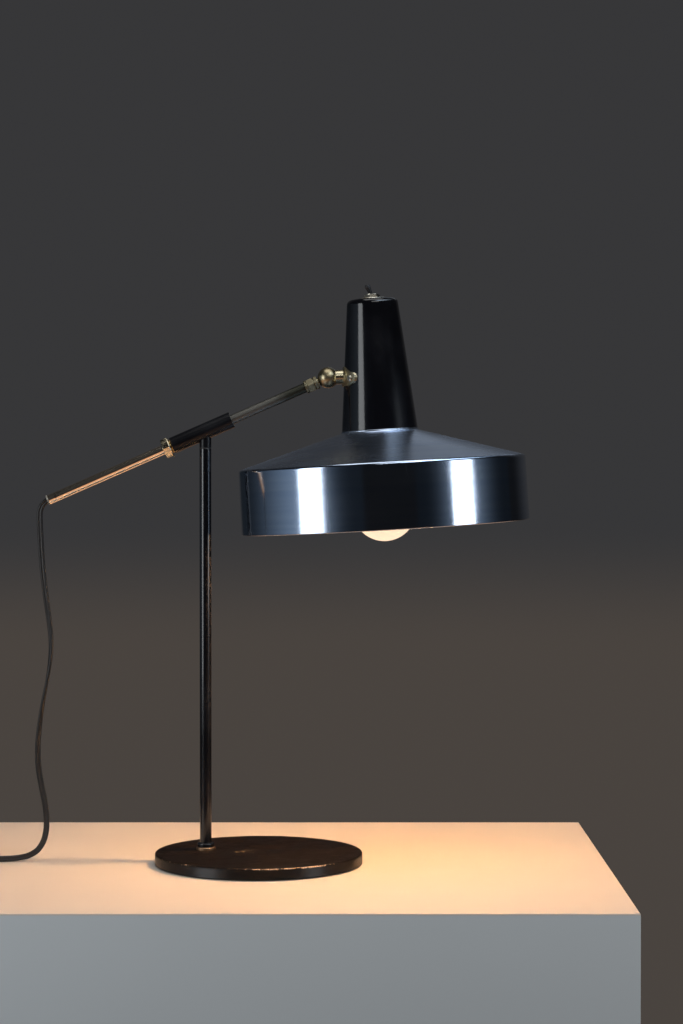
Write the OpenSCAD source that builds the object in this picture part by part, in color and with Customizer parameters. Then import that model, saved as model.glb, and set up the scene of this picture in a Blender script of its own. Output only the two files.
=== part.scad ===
// Desk lamp: a weighted round base, a slim stem, an arm that slides through a swivelling sleeve,
// and a spun shade under a tapered housing that tilts on a two-half ball knuckle.
// Millimetres, +Z up, +X along the arm towards the shade, -Y towards the viewer.
// The origin is the middle of the base's underside.

/* [Base] */
// Diameter of the cast disc
base_d = 210; // [185:1:240]
// Thickness of the cast disc
base_t = 11.2; // [10.4:0.1:16]
// Radius of the disc's top edge
base_edge_r = 1.5; // [0.5:0.1:3]
// Diameter of the felt pad under the disc
felt_d = 190; // [170:1:198]
// Thickness of the felt pad
felt_t = 2; // [1.5:0.1:2.4]
// How far the felt stands out below the disc
felt_proud = 0.8; // [0.4:0.1:1.2]

/* [Stem] */
// Outer diameter of the stem
stem_d = 12; // [11:0.1:14]
// Wall of the stem
stem_wall = 1.5; // [1:0.1:1.8]
// Place of the stem on the base, to the right of the middle
stem_x = -54.5; // [-62:0.5:-48]
// Place of the stem on the base, behind the middle
stem_y = 14; // [0:0.5:20]
// Height of the stem's top above the table
stem_top = 421; // [400:1:440]
// Diameter of the bright washer under the stem
foot_washer_d = 19.5; // [16:0.5:24]
// Thickness of the bright washer
foot_washer_t = 3; // [2:0.1:4]
// Diameter of the collar round the stem's foot
foot_collar_d = 17; // [15.5:0.1:19]
// Height of the collar round the stem's foot
foot_collar_t = 4; // [3:0.1:8]
// Diameter of the bolt that holds the stem
bolt_d = 8; // [6:0.5:8]
// Width across the flats of that bolt's head
bolt_af = 13; // [11:0.5:14]
// Height of that bolt's head
bolt_head_t = 5.3; // [4:0.1:5.5]
// Diameter of the washer on that bolt
bolt_washer_d = 16; // [15:0.5:20]
// Thickness of the washer on that bolt
bolt_washer_t = 1.6; // [1:0.1:2]
// Length of the tapped plug in the stem
stem_plug_l = 25; // [20:1:40]

/* [Swivel] */
// Length of the sleeve's pin in the stem
swivel_pin_l = 30; // [24:1:45]
// Thickness of the thrust washer on the stem
thrust_t = 0.8; // [0.5:0.1:1.5]
// Depth of the retaining groove below the stem's top
swivel_groove_drop = 16; // [10:0.5:18]
// Diameter of the retaining grub screw
swivel_grub_d = 4; // [3:0.5:5]

/* [Sleeve] */
// Height of the arm's axis above the thrust washer
sleeve_rise = 16.7; // [14:0.1:22]
// Outer diameter of the sleeve
sleeve_d = 17; // [16:0.1:19]
// Wall of the sleeve
sleeve_wall = 1.5; // [1:0.1:2]
// Length of the sleeve below the stem's axis
sleeve_tail = 36.7; // [32:0.1:45]
// Length of the sleeve above the stem's axis
sleeve_nose = 29.2; // [26:0.1:40]
// Length of the guide bush in the sleeve's upper end
guide_l = 18; // [10:0.5:22]
// Length of the collet inside the sleeve
collet_depth = 22; // [16:0.5:25]
// Length of the collet's taper
collet_taper = 3; // [2:0.1:3.5]
// Width of the collet's slits
collet_slit = 0.8; // [0.5:0.1:1.5]
// Width of the clamp nut across its flats
nut_af = 19.5; // [18:0.1:22]
// Thickness of the clamp nut
nut_t = 7.7; // [6.5:0.1:10]
// Length of thread that shows between the nut and the sleeve
nut_gap = 1.9; // [1:0.1:3]

/* [Arm] */
// Outer diameter of the arm
arm_d = 10; // [9.5:0.1:10.4]
// Wall of the arm
arm_wall = 1; // [0.8:0.1:1.1]
// Rise of the arm above the horizontal, in degrees
arm_tilt = 23.6; // [20:0.1:27]
// Length of the arm below the stem's axis
arm_tail = 174; // [173.5:0.1:174.5]
// Length of the arm above the stem's axis
arm_nose = 123; // [119:0.5:150]
// Diameter of the flange on the bush in the arm's lower end
end_flange_d = 10.8; // [10.5:0.1:13]
// Thickness of that flange
end_flange_t = 1.4; // [1.2:0.1:1.6]
// Length of that bush inside the arm
end_bush_l = 13; // [11:0.5:20]
// Distance of the cord's grip screw from the arm's end
grip_inset = 8; // [5:0.5:9]
// Diameter of the cord's grip screw
grip_d = 3; // [2:0.5:4]

/* [Knuckle] */
// Length of the ferrule on the arm
ferrule_l = 12; // [11:0.5:16]
// Length of the ferrule past the arm's end
ferrule_lip = 2; // [1.5:0.1:3]
// Width of the ferrule's hexagon across its flats
ferrule_af = 13; // [12.6:0.1:16]
// Diameter of the ferrule's flange
ferrule_flange_d = 14.8; // [13.5:0.1:18]
// Diameter of the ball
ball_d = 21.4; // [21:0.1:25]
// Thickness of the friction washer between the ball's halves
friction_t = 0.8; // [0.5:0.1:1.5]
// Diameter of the pivot screw
pivot_d = 5; // [4:0.5:5]
// Diameter of the pivot screw's head
pivot_head_d = 7.6; // [7:0.1:8]
// Diameter of the hole for the wires through the knuckle
wire_bore_d = 4.4; // [3:0.1:4.6]

/* [Saddle] */
// Diameter of the neck between the ball and the saddle
neck_d = 14.5; // [13:0.1:16]
// Distance from the ball's middle to the saddle
neck_reach = 14.6; // [13.5:0.1:20]
// Diameter of the neck's threaded end
spigot_d = 8; // [7:0.1:9]
// Thickness of the saddle strap
saddle_t = 1.6; // [1:0.1:2.5]
// Height of the saddle strap at the neck
saddle_h = 19.5; // [16:0.5:24]
// Radius of the saddle strap's round ends
saddle_end_r = 7; // [5:0.1:7.5]
// Angle round the housing from the neck to the middle of each round end
saddle_end_angle = 35; // [32:1:38]
// Angle round the housing from the neck to each saddle screw
saddle_angle = 39; // [36:1:42]
// How far the strap's ends and its screws lie below the neck
saddle_sag = 3; // [0:0.5:4]
// Diameter of the saddle screws
saddle_screw_d = 4; // [3:0.5:5]
// Diameter of the saddle screws' heads
saddle_head_d = 6.4; // [5.5:0.1:8]
// Height of the saddle screws' heads
saddle_head_t = 2; // [1.4:0.1:3]

/* [Housing] */
// Lean of the head from the vertical, in degrees
head_lean = 3.35; // [0:0.05:8]
// Radius of the housing at its bottom
cone_bottom_r = 38.7; // [37:0.1:44]
// Radius of the housing at its top
cone_top_r = 25.7; // [24:0.1:29]
// Height of the housing
cone_h = 133; // [128:1:150]
// Depth of the housing's bottom below the ball's middle
cone_drop = 56; // [54:0.5:60]
// Wall of the housing
cone_wall = 1; // [0.7:0.1:1.5]
// Radius of the housing's top edge
cone_edge_r = 4; // [2.5:0.1:6]

/* [Lampholder] */
// Thickness of the bracket inside the housing
bracket_t = 1.5; // [1:0.1:2]
// Half height of the bracket's curved strap
bracket_half_h = 10; // [9:0.5:11]
// Diameter of the threaded nipple
nipple_d = 10; // [9.5:0.1:10.5]
// Wall of the nipple
nipple_wall = 1.5; // [1:0.1:2]
// Width of the nipple's nuts across their flats
nipple_nut_af = 14; // [13:0.5:16]
// Thickness of the nipple's nuts
nipple_nut_t = 3.5; // [2.5:0.1:5]
// Outer radius of the holder's thread that carries the shade
holder_r = 20; // [19:0.1:22]
// Wall of the holder
holder_wall = 2.5; // [2:0.1:3]
// Radius of the holder's shoulder on the shade
shoulder_r = 23; // [22.5:0.1:27]
// Length of the holder's skirt below the shade's plate
skirt_l = 22; // [18:0.5:26]
// Thickness of the shade ring
ring_t = 4; // [3:0.1:6]
// Height of the shade ring
ring_h = 8; // [5:0.5:12]

/* [Shade] */
// Thickness of the spun sheet
sheet_t = 0.9; // [0.7:0.1:1.2]
// Radius where the roof meets the rim
roof_r = 146; // [130:1:155]
// Fall of the roof from the housing to the rim
roof_fall = 31.5; // [28:0.5:40]
// Depth of the collar under the housing
shade_collar = 2; // [1:0.1:4]
// Radius of the bend between the roof and the rim
rim_bend_r = 2; // [1.5:0.1:5]
// Height of the rim
rim_h = 65.5; // [58:0.5:72]
// Flare of the rim from its top to its edge
rim_flare = 0.6; // [0:0.1:5]

/* [Bulb] */
// Diameter of the bulb's glass
bulb_d = 65; // [60:1:70]
// Length of the bulb from its contact to its glass end
bulb_l = 115; // [108:1:120]
// Thickness of the bulb's glass
glass_t = 0.8; // [0.6:0.1:1.2]
// Outer radius of the bulb's cap
cap_r = 13; // [12.6:0.1:13.1]

/* [Switch] */
// Diameter of the bright plate on the housing
plate_d = 26; // [22:0.5:32]
// Thickness of the bright plate
plate_t = 1.6; // [1.2:0.1:3]
// Diameter of the switch's threaded bushing
bushing_d = 12; // [11.5:0.1:12.5]
// Diameter of the ring nut on the bushing
ring_nut_d = 14; // [13.6:0.1:18]
// Thickness of the ring nut
ring_nut_t = 2.9; // [2.5:0.1:3.5]
// Diameter of the lever's tip
lever_d = 5.4; // [4.5:0.1:6]
// Length of the lever above its pivot
lever_l = 13; // [10:0.1:16]
// Lean of the lever at rest, in degrees
lever_lean = 21; // [12:0.1:22]
// Width of the switch's case
switch_w = 15; // [13:0.5:18]
// Depth of the switch's case
switch_depth = 22; // [18:0.5:26]
// Height of the switch's case
switch_h = 18; // [14:0.5:22]

/* [Cord] */
// Diameter of the cord
cord_d = 6; // [5.6:0.1:6.2]
// Turns in each layer of the put-away coil
coil_turns = 3.125; // [3.125:1:4.125]
// Radius of the coil's smallest turn
coil_min_r = 23; // [22:0.5:24]
// Space between neighbouring turns
coil_space = 0.6; // [0.55:0.05:0.7]
// Thickness of the band that ties the coil
tie_t = 0.8; // [0.6:0.1:0.9]
// Width of the band that ties the coil
tie_w = 6; // [4:0.5:8]
// Width of the plug
plug_w = 26; // [24:0.5:28]
// Length of the plug's body
plug_l = 36; // [32:0.5:45]
// Thickness of the plug
plug_t = 13.7; // [12:0.1:15]
// Length of the plug's tapered sleeve
plug_sleeve_l = 20; // [20:1:24]
// Diameter of the plug's pins
pin_d = 4; // [3.5:0.1:5]
// Length of the plug's pins
pin_l = 19; // [16:0.5:22]
// Distance between the plug's pins
pin_space = 18.6; // [16:0.1:19]

/* [Fits] */
// Radial clearance of a piece that turns or slides on another
running = 0.03; // [0.02:0.01:0.08]
// Radial clearance of a piece that stays seated in another
seat = 0.02; // [0.01:0.01:0.05]
// Clearance of a screw thread, and of a screw in a plain hole
loose = 0.1; // [0.08:0.01:0.3]
// Air between pieces that pass each other
air = 0.3; // [0.2:0.05:0.4]

/* [Hidden] */
$fn = 64;

// Heights in the base and the foot
disc_top = felt_proud + base_t;
bolt_head_z = felt_t + loose;
bolt_washer_z = bolt_head_z + bolt_head_t;
web_z = bolt_washer_z + bolt_washer_t;
stem_z = disc_top + foot_washer_t;
stem_bore_d = stem_d - 2 * stem_wall;
bolt_bite = stem_plug_l * 0.7;
bolt_thread_d = bolt_d - 1.2;

// The swivel between the stem and the sleeve
neck_z = stem_top + thrust_t;
swivel_pin_d = stem_bore_d - 2 * running;
groove_z = stem_top - swivel_groove_drop;
groove_depth = 1;
arm_z = neck_z + sleeve_rise;

// Places along the arm, measured from the stem's axis
sleeve_bore_d = sleeve_d - 2 * sleeve_wall;
collet_d = sleeve_bore_d - 2 * seat;
arm_hole_d = arm_d + 2 * running;
arm_bore_d = arm_d - 2 * arm_wall;
nut_top = -sleeve_tail - nut_gap;
nut_bottom = nut_top - nut_t;
collet_end = nut_bottom + 1.3;
collet_tip_r = arm_hole_d / 2 + 0.6;
grip_s = -arm_tail + grip_inset;
grip_length = arm_d / 2 - cord_d / 2 + air;
flange_s = -arm_tail - end_flange_t;
ferrule_s = arm_nose - ferrule_l;
ferrule_end = arm_nose + ferrule_lip;
ferrule_ring_l = 2.2;
ferrule_flange_l = 4;
ferrule_grub_d = 3;
ferrule_grub_s = arm_nose - 6;
stub_d = arm_bore_d - 2 * running;
stub_s = ferrule_s - 4;
stub_groove_r = stub_d / 2 - 1;
ball_r = ball_d / 2;
ball_gap = 0.5;
ball_s = ferrule_end + ball_gap + ball_r;
ball_clear_r = ball_r + air;
ball_x = stem_x + ball_s * cos(arm_tilt);
ball_z = arm_z + ball_s * sin(arm_tilt);

// Inside the ball: a boss round the pivot screw, then a ring-shaped way for the wires
boss_r = pivot_d / 2 + running + 1.35;
channel_r = boss_r + 3.5;
channel_depth = 3;
pivot_head_y = 7.2;
pivot_head_t = 2.4;
pivot_end_y = -6.5;

// The housing's side and what sits on it
cone_z = -cone_drop;
cone_top_z = cone_z + cone_h;
cone_lean = atan((cone_bottom_r - cone_top_r) / cone_h);
cone_skin = cone_wall / cos(cone_lean);
head_reach = neck_reach + saddle_t + seat + side_r(0);
saddle_r = side_r(0) + seat + saddle_t;
bracket_r = side_r(0) - cone_skin - loose;
neck_washer_t = 3;
neck_washer_d = 15;
neck_nut_af = 12;
neck_nut_t = 4;
neck_washer_x = -bracket_r + bracket_t / cos(cone_lean) + neck_washer_t;

// Heights in the lampholder, measured from the ball's middle along the head
bracket_z = -bracket_half_h - bracket_t;
holder_shoulder_t = 3;
shoulder_z = cone_z + seat;
holder_top_z = shoulder_z + holder_shoulder_t + 9;
holder_neck_r = holder_r - holder_wall - 0.2;
ledge_z = shoulder_z + holder_shoulder_t;
ledge_t = 2;
insert_z = ledge_z + ledge_t;
insert_t = 5;
cap_wall = 2;
cap_top_z = holder_top_z + 14;
cap_boss_r = nipple_d / 2 + 4;
cap_boss_h = 5;
nipple_z = cap_top_z - 4;
nipple_top_z = -bracket_half_h + nipple_nut_t + 3;
shell_inner_r = cap_r + air;
shell_t = 0.4;
shell_l = 23;
contact_l = 3;
bulb_top_z = insert_z - shell_t - contact_l;
bulb_cap_l = 26.5;
contact_r = 4.7;
glass_neck_r = cap_r - 1;
glass_neck_l = 12;
glass_shoulder_r = cap_r + 1.2;
flare_steps = 10;

// Heights in the switch, measured from the ball's middle along the head
plate_z = cone_top_z;
ring_nut_z = plate_z + plate_t;
bushing_top_z = ring_nut_z + ring_nut_t + 0.8;
pivot_z = bushing_top_z - 2.6;
lever_barrel_d = 4.6;
lever_barrel_l = 4.2;
lever_neck_d = 3.6;
bushing_bore_r = norm([lever_barrel_d, lever_barrel_l]) / 2 + air;
bushing_mouth_r = bushing_d / 2 - 0.8;
switch_top_z = cone_top_z - cone_wall - seat;
switch_z = switch_top_z - switch_h;
wire_d = 2.4;

// The cord: it leaves the arm's lower end, turns down, hangs in waves and lies on the table.
// The points are chosen along it: the distance from the arm's end to the right and back, and the height.
cord_exit = arm_point(flange_s);
hang_rest = 368;
hang_low = 40;
hang_points = [
  [-3.0, 0, 366.5], [-5.5, 0, 363.9], [-7.2, 0, 360.9], [-8.0, 0, 357.4], [-8.1, 0, 352.0],
  [-7.9, 0, 343.0], [-7.3, 0, 332.0], [-6.6, 0, 318.0], [-5.6, 0, 303.0], [-4.1, 0, 288.0],
  [-2.3, 0, 273.0], [-0.3, 0, 258.0], [1.7, 0, 243.0], [3.0, 0, 231.0], [3.3, 0, 220.0],
  [2.6, 0, 208.0], [1.0, 0, 195.0], [-1.7, 0, 180.0], [-4.7, 0, 165.0], [-7.2, 0, 150.0],
  [-9.1, 0, 135.0], [-10.4, 0, 120.0], [-10.6, 0, 105.0], [-9.2, 0, 90.0], [-6.4, 0, 75.0],
  [-3.6, 0, 60.0], [-1.7, 0, 46.0], [-1.7, 0, 33.0], [-4.4, -0.2, 20.5], [-10.6, -0.8, 10.8],
  [-20.5, -1.8, 5.4], [-33.0, -3.6, 3.5], [-47.0, -6.0, 3.3], [-61.0, -8.8, 3.3], [-75.0, -11.8, 3.5],
  [-87.0, -14.2, 3.8]
];
coil_x = cord_exit[0] - 103;
coil_y = stem_y + 28;
coil_pitch = cord_d + coil_space;
coil_z = tie_t + seat + coil_space / 4 + cord_d / 2;
coil_start = -90;
coil_half = coil_turns * 360;
coil_step = 15;
coil_points = concat(
  [coil_point(0) - cord_d * coil_way(0)],
  [for (a = [0 : coil_step : 2 * coil_half]) coil_point(a)],
  [coil_point(2 * coil_half) + cord_d * coil_way(2 * coil_half)]
);
coil_out = coil_points[len(coil_points) - 1];
plug_y = coil_y + 48;
tail_route = [
  coil_out,
  coil_out + 4 * coil_way(2 * coil_half),
  [coil_out[0] - 0.4, plug_y - plug_sleeve_l - 8, plug_t / 2 + 1.2],
  [coil_out[0] - 0.5, plug_y - plug_sleeve_l - 4, plug_t / 2],
  [coil_out[0] - 0.5, plug_y - plug_sleeve_l, plug_t / 2]
];
drop_route = concat(
  [cord_exit, arm_point(flange_s - 1)],
  [for (p = hang_points) [cord_exit[0] + p[0], cord_exit[1] + p[1], hang_height(p[2])]],
  [coil_points[0] - 4 * coil_way(0), coil_points[0]]
);

// A point on the arm's axis
function arm_point(s) = [stem_x + s * cos(arm_tilt), stem_y, arm_z + s * sin(arm_tilt)];
// The height of a point of the hanging cord, which follows the height of the arm's end
function hang_height(z) =
  z < hang_low ? z : hang_low + (z - hang_low) * (cord_exit[2] - hang_low) / (hang_rest - hang_low);
// Radius of the housing's side at a height
function side_r(z) = cone_bottom_r + (cone_top_r - cone_bottom_r) * (z - cone_z) / cone_h;
// A vector of length one
function unit(v) = v / norm(v);
// The direction to the right of travel from a to b
function right_of(a, b) = [b[1] - a[1], a[0] - b[0]] / norm(b - a);
// Point i of an outline moved sideways, with its corner mitred
function mitred(p, i, t) =
  let (
    last = len(p) - 1,
    before = right_of(p[max(i - 1, 0)], p[max(i, 1)]),
    after = right_of(p[min(i, last - 1)], p[min(i + 1, last)])
  )
  p[i] + t * (before + after) / (1 + before * after);
// An outline moved sideways, to the right of travel
// A closed wall between an outline and the same outline moved sideways
function wall_of(p, t) =
  concat(p, [for (i = [len(p) - 1 : -1 : 0]) let (m = mitred(p, i, t)) [max(m[0], 0), m[1]]]);
// Points on an arc round c from one angle to another
function arc(c, r, from, to, steps) =
  [for (i = [0 : steps]) let (a = from + (to - from) * i / steps) c + r * [cos(a), sin(a)]];
// Distance of the coil from its middle after a turn of a degrees
function coil_radius(a) = coil_min_r + coil_pitch * abs(a - coil_half) / 360;
// Height of the coil after a turn of a degrees: it climbs in the half turn where it reverses
function coil_height(a) = coil_z + coil_pitch * min(1, max(0, (a - coil_half + 90) / 180));
function coil_point(a) =
  let (r = coil_radius(a), turned = coil_start - a)
  [coil_x + r * cos(turned), coil_y + r * sin(turned), coil_height(a)];
function coil_way(a) = unit(coil_point(min(a + 1, 2 * coil_half)) - coil_point(max(a - 1, 0)));
// The direction of a route at point i
function way(p, i) = unit(p[min(i + 1, len(p) - 1)] - p[max(i - 1, 0)]);
// A ring of n points round point i of a route
function ring(p, i, r, n, up) =
  let (t = way(p, i), u = unit(cross(up, t)), v = cross(t, u))
  [for (k = [0 : n - 1]) p[i] + r * (cos(360 * k / n) * u + sin(360 * k / n) * v)];
function length_of(p) = [for (i = [1 : len(p) - 1]) norm(p[i] - p[i - 1])] * [for (i = [1 : len(p) - 1]) 1];

// The least gap of the coil to itself, between points at least half a turn apart
half_turn = 180 / coil_step;
coil_gap = min([
  for (i = [0 : len(coil_points) - 1])
    for (j = [i + half_turn : 1 : len(coil_points) - 1]) norm(coil_points[j] - coil_points[i])
]) - cord_d;
echo("least gap of the coil to itself", coil_gap);
cord_length = length_of(drop_route) + length_of(coil_points) + length_of(tail_route);
echo("length of the cord outside the lamp", cord_length);
echo("middle of the ball", [ball_x, stem_y, ball_z]);
echo("pivot of the lever", [head_reach, 0, pivot_z]);

// Places that the pieces are built in
module at_stem() {
  translate([stem_x, stem_y, 0]) children();
}

module at_arm(s = 0) {
  translate(arm_point(s)) rotate([0, 90 - arm_tilt, 0]) children();
}

module at_head() {
  translate([ball_x, stem_y, ball_z]) rotate([0, -head_lean, 0]) children();
}

module at_housing() {
  at_head() translate([head_reach, 0, 0]) children();
}

// A cylinder from one height to another
module rod(d, from, to) {
  translate([0, 0, from]) cylinder(d = d, h = to - from);
}

// A round pipe from one height to another
module pipe(d, bore, from, to) {
  difference() {
    rod(d, from, to);
    rod(bore, from - 1, to + 1);
  }
}

// A hexagon with its corners turned down at both faces
module hexagon(af, from, to) {
  corner_r = af / 2 / cos(30);
  turn = (corner_r - af / 2) * 0.55;
  intersection() {
    translate([0, 0, from]) cylinder(r = corner_r, h = to - from, $fn = 6);
    rotate_extrude() polygon([
      [0, from], [af / 2, from], [corner_r, from + turn], [corner_r, to - turn], [af / 2, to], [0, to]
    ]);
  }
}

// Half of space behind (+1) or in front (-1) of the knuckle's split, as a block
module half_block(side, size) {
  near = side > 0 ? friction_t / 2 : -friction_t / 2 - size;
  translate([-size, near, -size]) cube([2 * size, size, 2 * size]);
}

// A tube of n sides swept along a route, with triangles only
module swept(p, d, n, up) {
  last = (len(p) - 1) * n;
  points = [for (i = [0 : len(p) - 1]) each ring(p, i, d / 2, n, up)];
  sides = [
    for (i = [0 : len(p) - 2])
      for (k = [0 : n - 1])
        let (a = i * n + k, b = i * n + (k + 1) % n) each [[a, a + n, b + n], [a, b + n, b]]
  ];
  start = [for (k = [1 : n - 2]) [0, k, k + 1]];
  end = [for (k = [1 : n - 2]) [last, last + k + 1, last + k]];
  polyhedron(points = points, faces = concat(sides, start, end));
}

// Base and stem

module base_disc() {
  color("#1c1714") difference() {
    rotate_extrude() polygon(concat(
      [[0, felt_proud], [base_d / 2 - 0.6, felt_proud], [base_d / 2, felt_proud + 0.6]],
      arc([base_d / 2 - base_edge_r, disc_top - base_edge_r], base_edge_r, 0, 90, 6),
      [[0, disc_top]]
    ));
    rod(felt_d + 2 * loose, -1, felt_t);
    at_stem() rod(bolt_washer_d + 2 * air, 0, web_z);
    at_stem() rod(bolt_d + 2 * air, 0, disc_top + 1);
  }
}

module base_felt() {
  color("#3d4a38") rod(felt_d, 0, felt_t);
}

module foot_washer() {
  color("#b88a5a") at_stem() difference() {
    rotate_extrude() polygon([
      [0, disc_top], [foot_washer_d / 2, disc_top], [foot_washer_d / 2, stem_z - 0.8],
      [foot_washer_d / 2 - 0.8, stem_z], [0, stem_z]
    ]);
    rod(bolt_d + 2 * air, disc_top - 1, stem_z + 1);
  }
}

module foot_collar() {
  color("#141414") at_stem() difference() {
    rotate_extrude() polygon(concat(
      [[0, stem_z], [foot_collar_d / 2, stem_z]],
      arc([foot_collar_d / 2 - 1.2, stem_z + foot_collar_t - 1.2], 1.2, 0, 90, 5),
      [[0, stem_z + foot_collar_t]]
    ));
    rod(stem_d + 2 * seat, stem_z - 1, stem_z + foot_collar_t + 1);
  }
}

module stem_tube() {
  color("#111111") at_stem() difference() {
    pipe(stem_d, stem_bore_d, stem_z, stem_top);
    translate([0, 0, groove_z]) rotate([-90, 0, 0]) rod(swivel_grub_d + 2 * seat, 0, stem_d);
  }
}

module stem_plug() {
  color("#8a8a86") at_stem()
    pipe(stem_bore_d - 2 * seat, bolt_thread_d + 2 * seat, stem_z, stem_z + stem_plug_l);
}

module stem_bolt() {
  color("#77787a") at_stem() {
    hexagon(bolt_af, bolt_head_z, bolt_washer_z);
    rod(bolt_d, bolt_washer_z, stem_z - loose);
    rod(bolt_thread_d, stem_z - loose, stem_z + bolt_bite);
  }
}

module bolt_washer() {
  color("#9a9a96") at_stem() pipe(bolt_washer_d, bolt_d + 2 * loose, bolt_washer_z, web_z);
}

module thrust_washer() {
  color("#d8d2c0") at_stem() pipe(stem_d, swivel_pin_d + 4 * loose, stem_top, neck_z - seat);
}

module swivel_grub() {
  color("#55565a") at_stem() translate([0, 0, groove_z]) rotate([-90, 0, 0])
    rod(swivel_grub_d, swivel_pin_d / 2 - groove_depth + air, stem_d / 2 + air);
}

// Sleeve, clamp and arm

module pivot_sleeve() {
  color("#151515") difference() {
    union() {
      at_arm() rod(sleeve_d, -sleeve_tail, sleeve_nose);
      at_stem() rod(stem_d, neck_z, arm_z);
      at_stem() rod(swivel_pin_d, stem_top - swivel_pin_l, arm_z);
    }
    at_arm() rod(sleeve_bore_d, -sleeve_tail - 1, sleeve_nose + 1);
    at_stem() pipe(stem_d, swivel_pin_d - 2 * groove_depth, groove_z - swivel_grub_d / 2 - air,
                   groove_z + swivel_grub_d / 2 + air);
  }
}

module guide_bush() {
  color("#c9c1a8") at_arm() pipe(sleeve_bore_d - 2 * seat, arm_hole_d, sleeve_nose - guide_l, sleeve_nose);
}

module collet_insert() {
  color("#c79b3f") at_arm() difference() {
    rotate_extrude() polygon([
      [arm_hole_d / 2, collet_end], [collet_tip_r, collet_end], [collet_d / 2, collet_end + collet_taper],
      [collet_d / 2, collet_depth - sleeve_tail], [arm_hole_d / 2, collet_depth - sleeve_tail]
    ]);
    for (turn = [0, 90])
      rotate([0, 0, turn]) translate([-collet_d, -collet_slit / 2, collet_end - 1])
        cube([2 * collet_d, collet_slit, collet_depth - 4]);
  }
}

module clamp_nut() {
  color("#c8b98a") at_arm() difference() {
    hexagon(nut_af, nut_bottom, nut_top);
    rotate_extrude() polygon([
      [0, nut_bottom - 1], [arm_d / 2 + air, nut_bottom - 1], [arm_d / 2 + air, collet_end - air],
      [collet_tip_r + loose, collet_end], [collet_d / 2 + loose, collet_end + collet_taper],
      [collet_d / 2 + loose, nut_top + 1], [0, nut_top + 1]
    ]);
  }
}

module arm_tube() {
  color("#b9b49f") at_arm() difference() {
    pipe(arm_d, arm_bore_d, -arm_tail, arm_nose);
    translate([0, 0, grip_s]) rotate([90, 0, 0]) rod(grip_d + 2 * seat, 0, arm_d);
    translate([0, 0, ferrule_grub_s]) rotate([-90, 0, 0]) rod(ferrule_grub_d + 2 * seat, 0, arm_d);
  }
}

module end_bush() {
  color("#d9cfae") at_arm() difference() {
    union() {
      rod(end_flange_d, flange_s, -arm_tail);
      rod(arm_bore_d - 2 * seat, -arm_tail, end_bush_l - arm_tail);
    }
    rod(cord_d + 2 * seat, flange_s - 1, end_bush_l - arm_tail + 1);
    translate([0, 0, grip_s]) rotate([90, 0, 0]) rod(grip_d + 2 * seat, 0, arm_d);
  }
}

module cord_grip_screw() {
  color("#3a3631") at_arm() translate([0, 0, grip_s]) rotate([90, 0, 0])
    rod(grip_d, cord_d / 2 + seat, cord_d / 2 + grip_length);
}

module inner_flex() {
  color("#1b1b1b") at_arm() rod(cord_d, flange_s, stub_s - air);
}

// Ferrule and knuckle

module arm_ferrule() {
  hex_end = ferrule_end - ferrule_flange_l;
  color("#cdbb86") at_arm() difference() {
    union() {
      rod(ferrule_af + 0.6, ferrule_s, ferrule_s + ferrule_ring_l);
      hexagon(ferrule_af, ferrule_s + ferrule_ring_l - 0.5, hex_end + 0.5);
      rotate_extrude() polygon([
        [0, hex_end], [ferrule_af / 2, hex_end], [ferrule_flange_d / 2, hex_end + 1.2],
        [ferrule_flange_d / 2, ferrule_end - 0.8],
        [ferrule_flange_d / 2 - 0.8, ferrule_end], [0, ferrule_end]
      ]);
    }
    rod(arm_d + 2 * seat, ferrule_s - 1, arm_nose);
    rod(stub_d + 2 * loose, ferrule_s, ferrule_end + 1);
    translate([0, 0, ferrule_grub_s]) rotate([-90, 0, 0]) rod(ferrule_grub_d + 2 * seat, 0, ferrule_af);
  }
}

module ferrule_grub() {
  color("#4d4a44") at_arm() translate([0, 0, ferrule_grub_s]) rotate([-90, 0, 0])
    rod(ferrule_grub_d, stub_groove_r + air, ferrule_af / 2);
}

// The half ball on one side of the split, with its way for the wires cut out
module half_ball(side) {
  difference() {
    intersection() {
      sphere(r = ball_r);
      half_block(side, ball_d);
    }
    rotate([-90, 0, 0]) pipe(2 * channel_r, 2 * boss_r, -channel_depth - friction_t / 2,
                             channel_depth + friction_t / 2);
  }
}

module ball_rear() {
  color("#c79a3e") at_arm(ball_s) difference() {
    union() {
      half_ball(1);
      difference() {
        rod(stub_d, stub_s - ball_s, -channel_r);
        difference() {
          sphere(r = ball_clear_r);
          half_block(1, ball_d);
        }
        pipe(stub_d + 1, 2 * stub_groove_r, ferrule_grub_s - ball_s - ferrule_grub_d / 2 - air,
             ferrule_grub_s - ball_s + ferrule_grub_d / 2 + air);
      }
    }
    rod(wire_bore_d, stub_s - ball_s - 1, -boss_r - 0.5);
    rotate([-90, 0, 0]) rod(pivot_d + 2 * running, 0, ball_r);
    rotate([-90, 0, 0]) rod(pivot_head_d + 2 * loose, pivot_head_y, ball_d);
  }
}

module friction_washer() {
  color("#6a3d2a") at_arm(ball_s) rotate([-90, 0, 0])
    pipe(ball_d - 1, 2 * channel_r + 2 * loose, -friction_t / 2 + seat, friction_t / 2);
}

module pivot_screw() {
  color("#8f8a7c") at_arm(ball_s) rotate([-90, 0, 0]) difference() {
    union() {
      rod(pivot_d, pivot_end_y, pivot_head_y);
      rod(pivot_head_d, pivot_head_y, pivot_head_y + pivot_head_t);
    }
    translate([-ball_r, -0.5, pivot_head_y + pivot_head_t - 1]) cube([ball_d, 1, 2]);
  }
}

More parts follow.
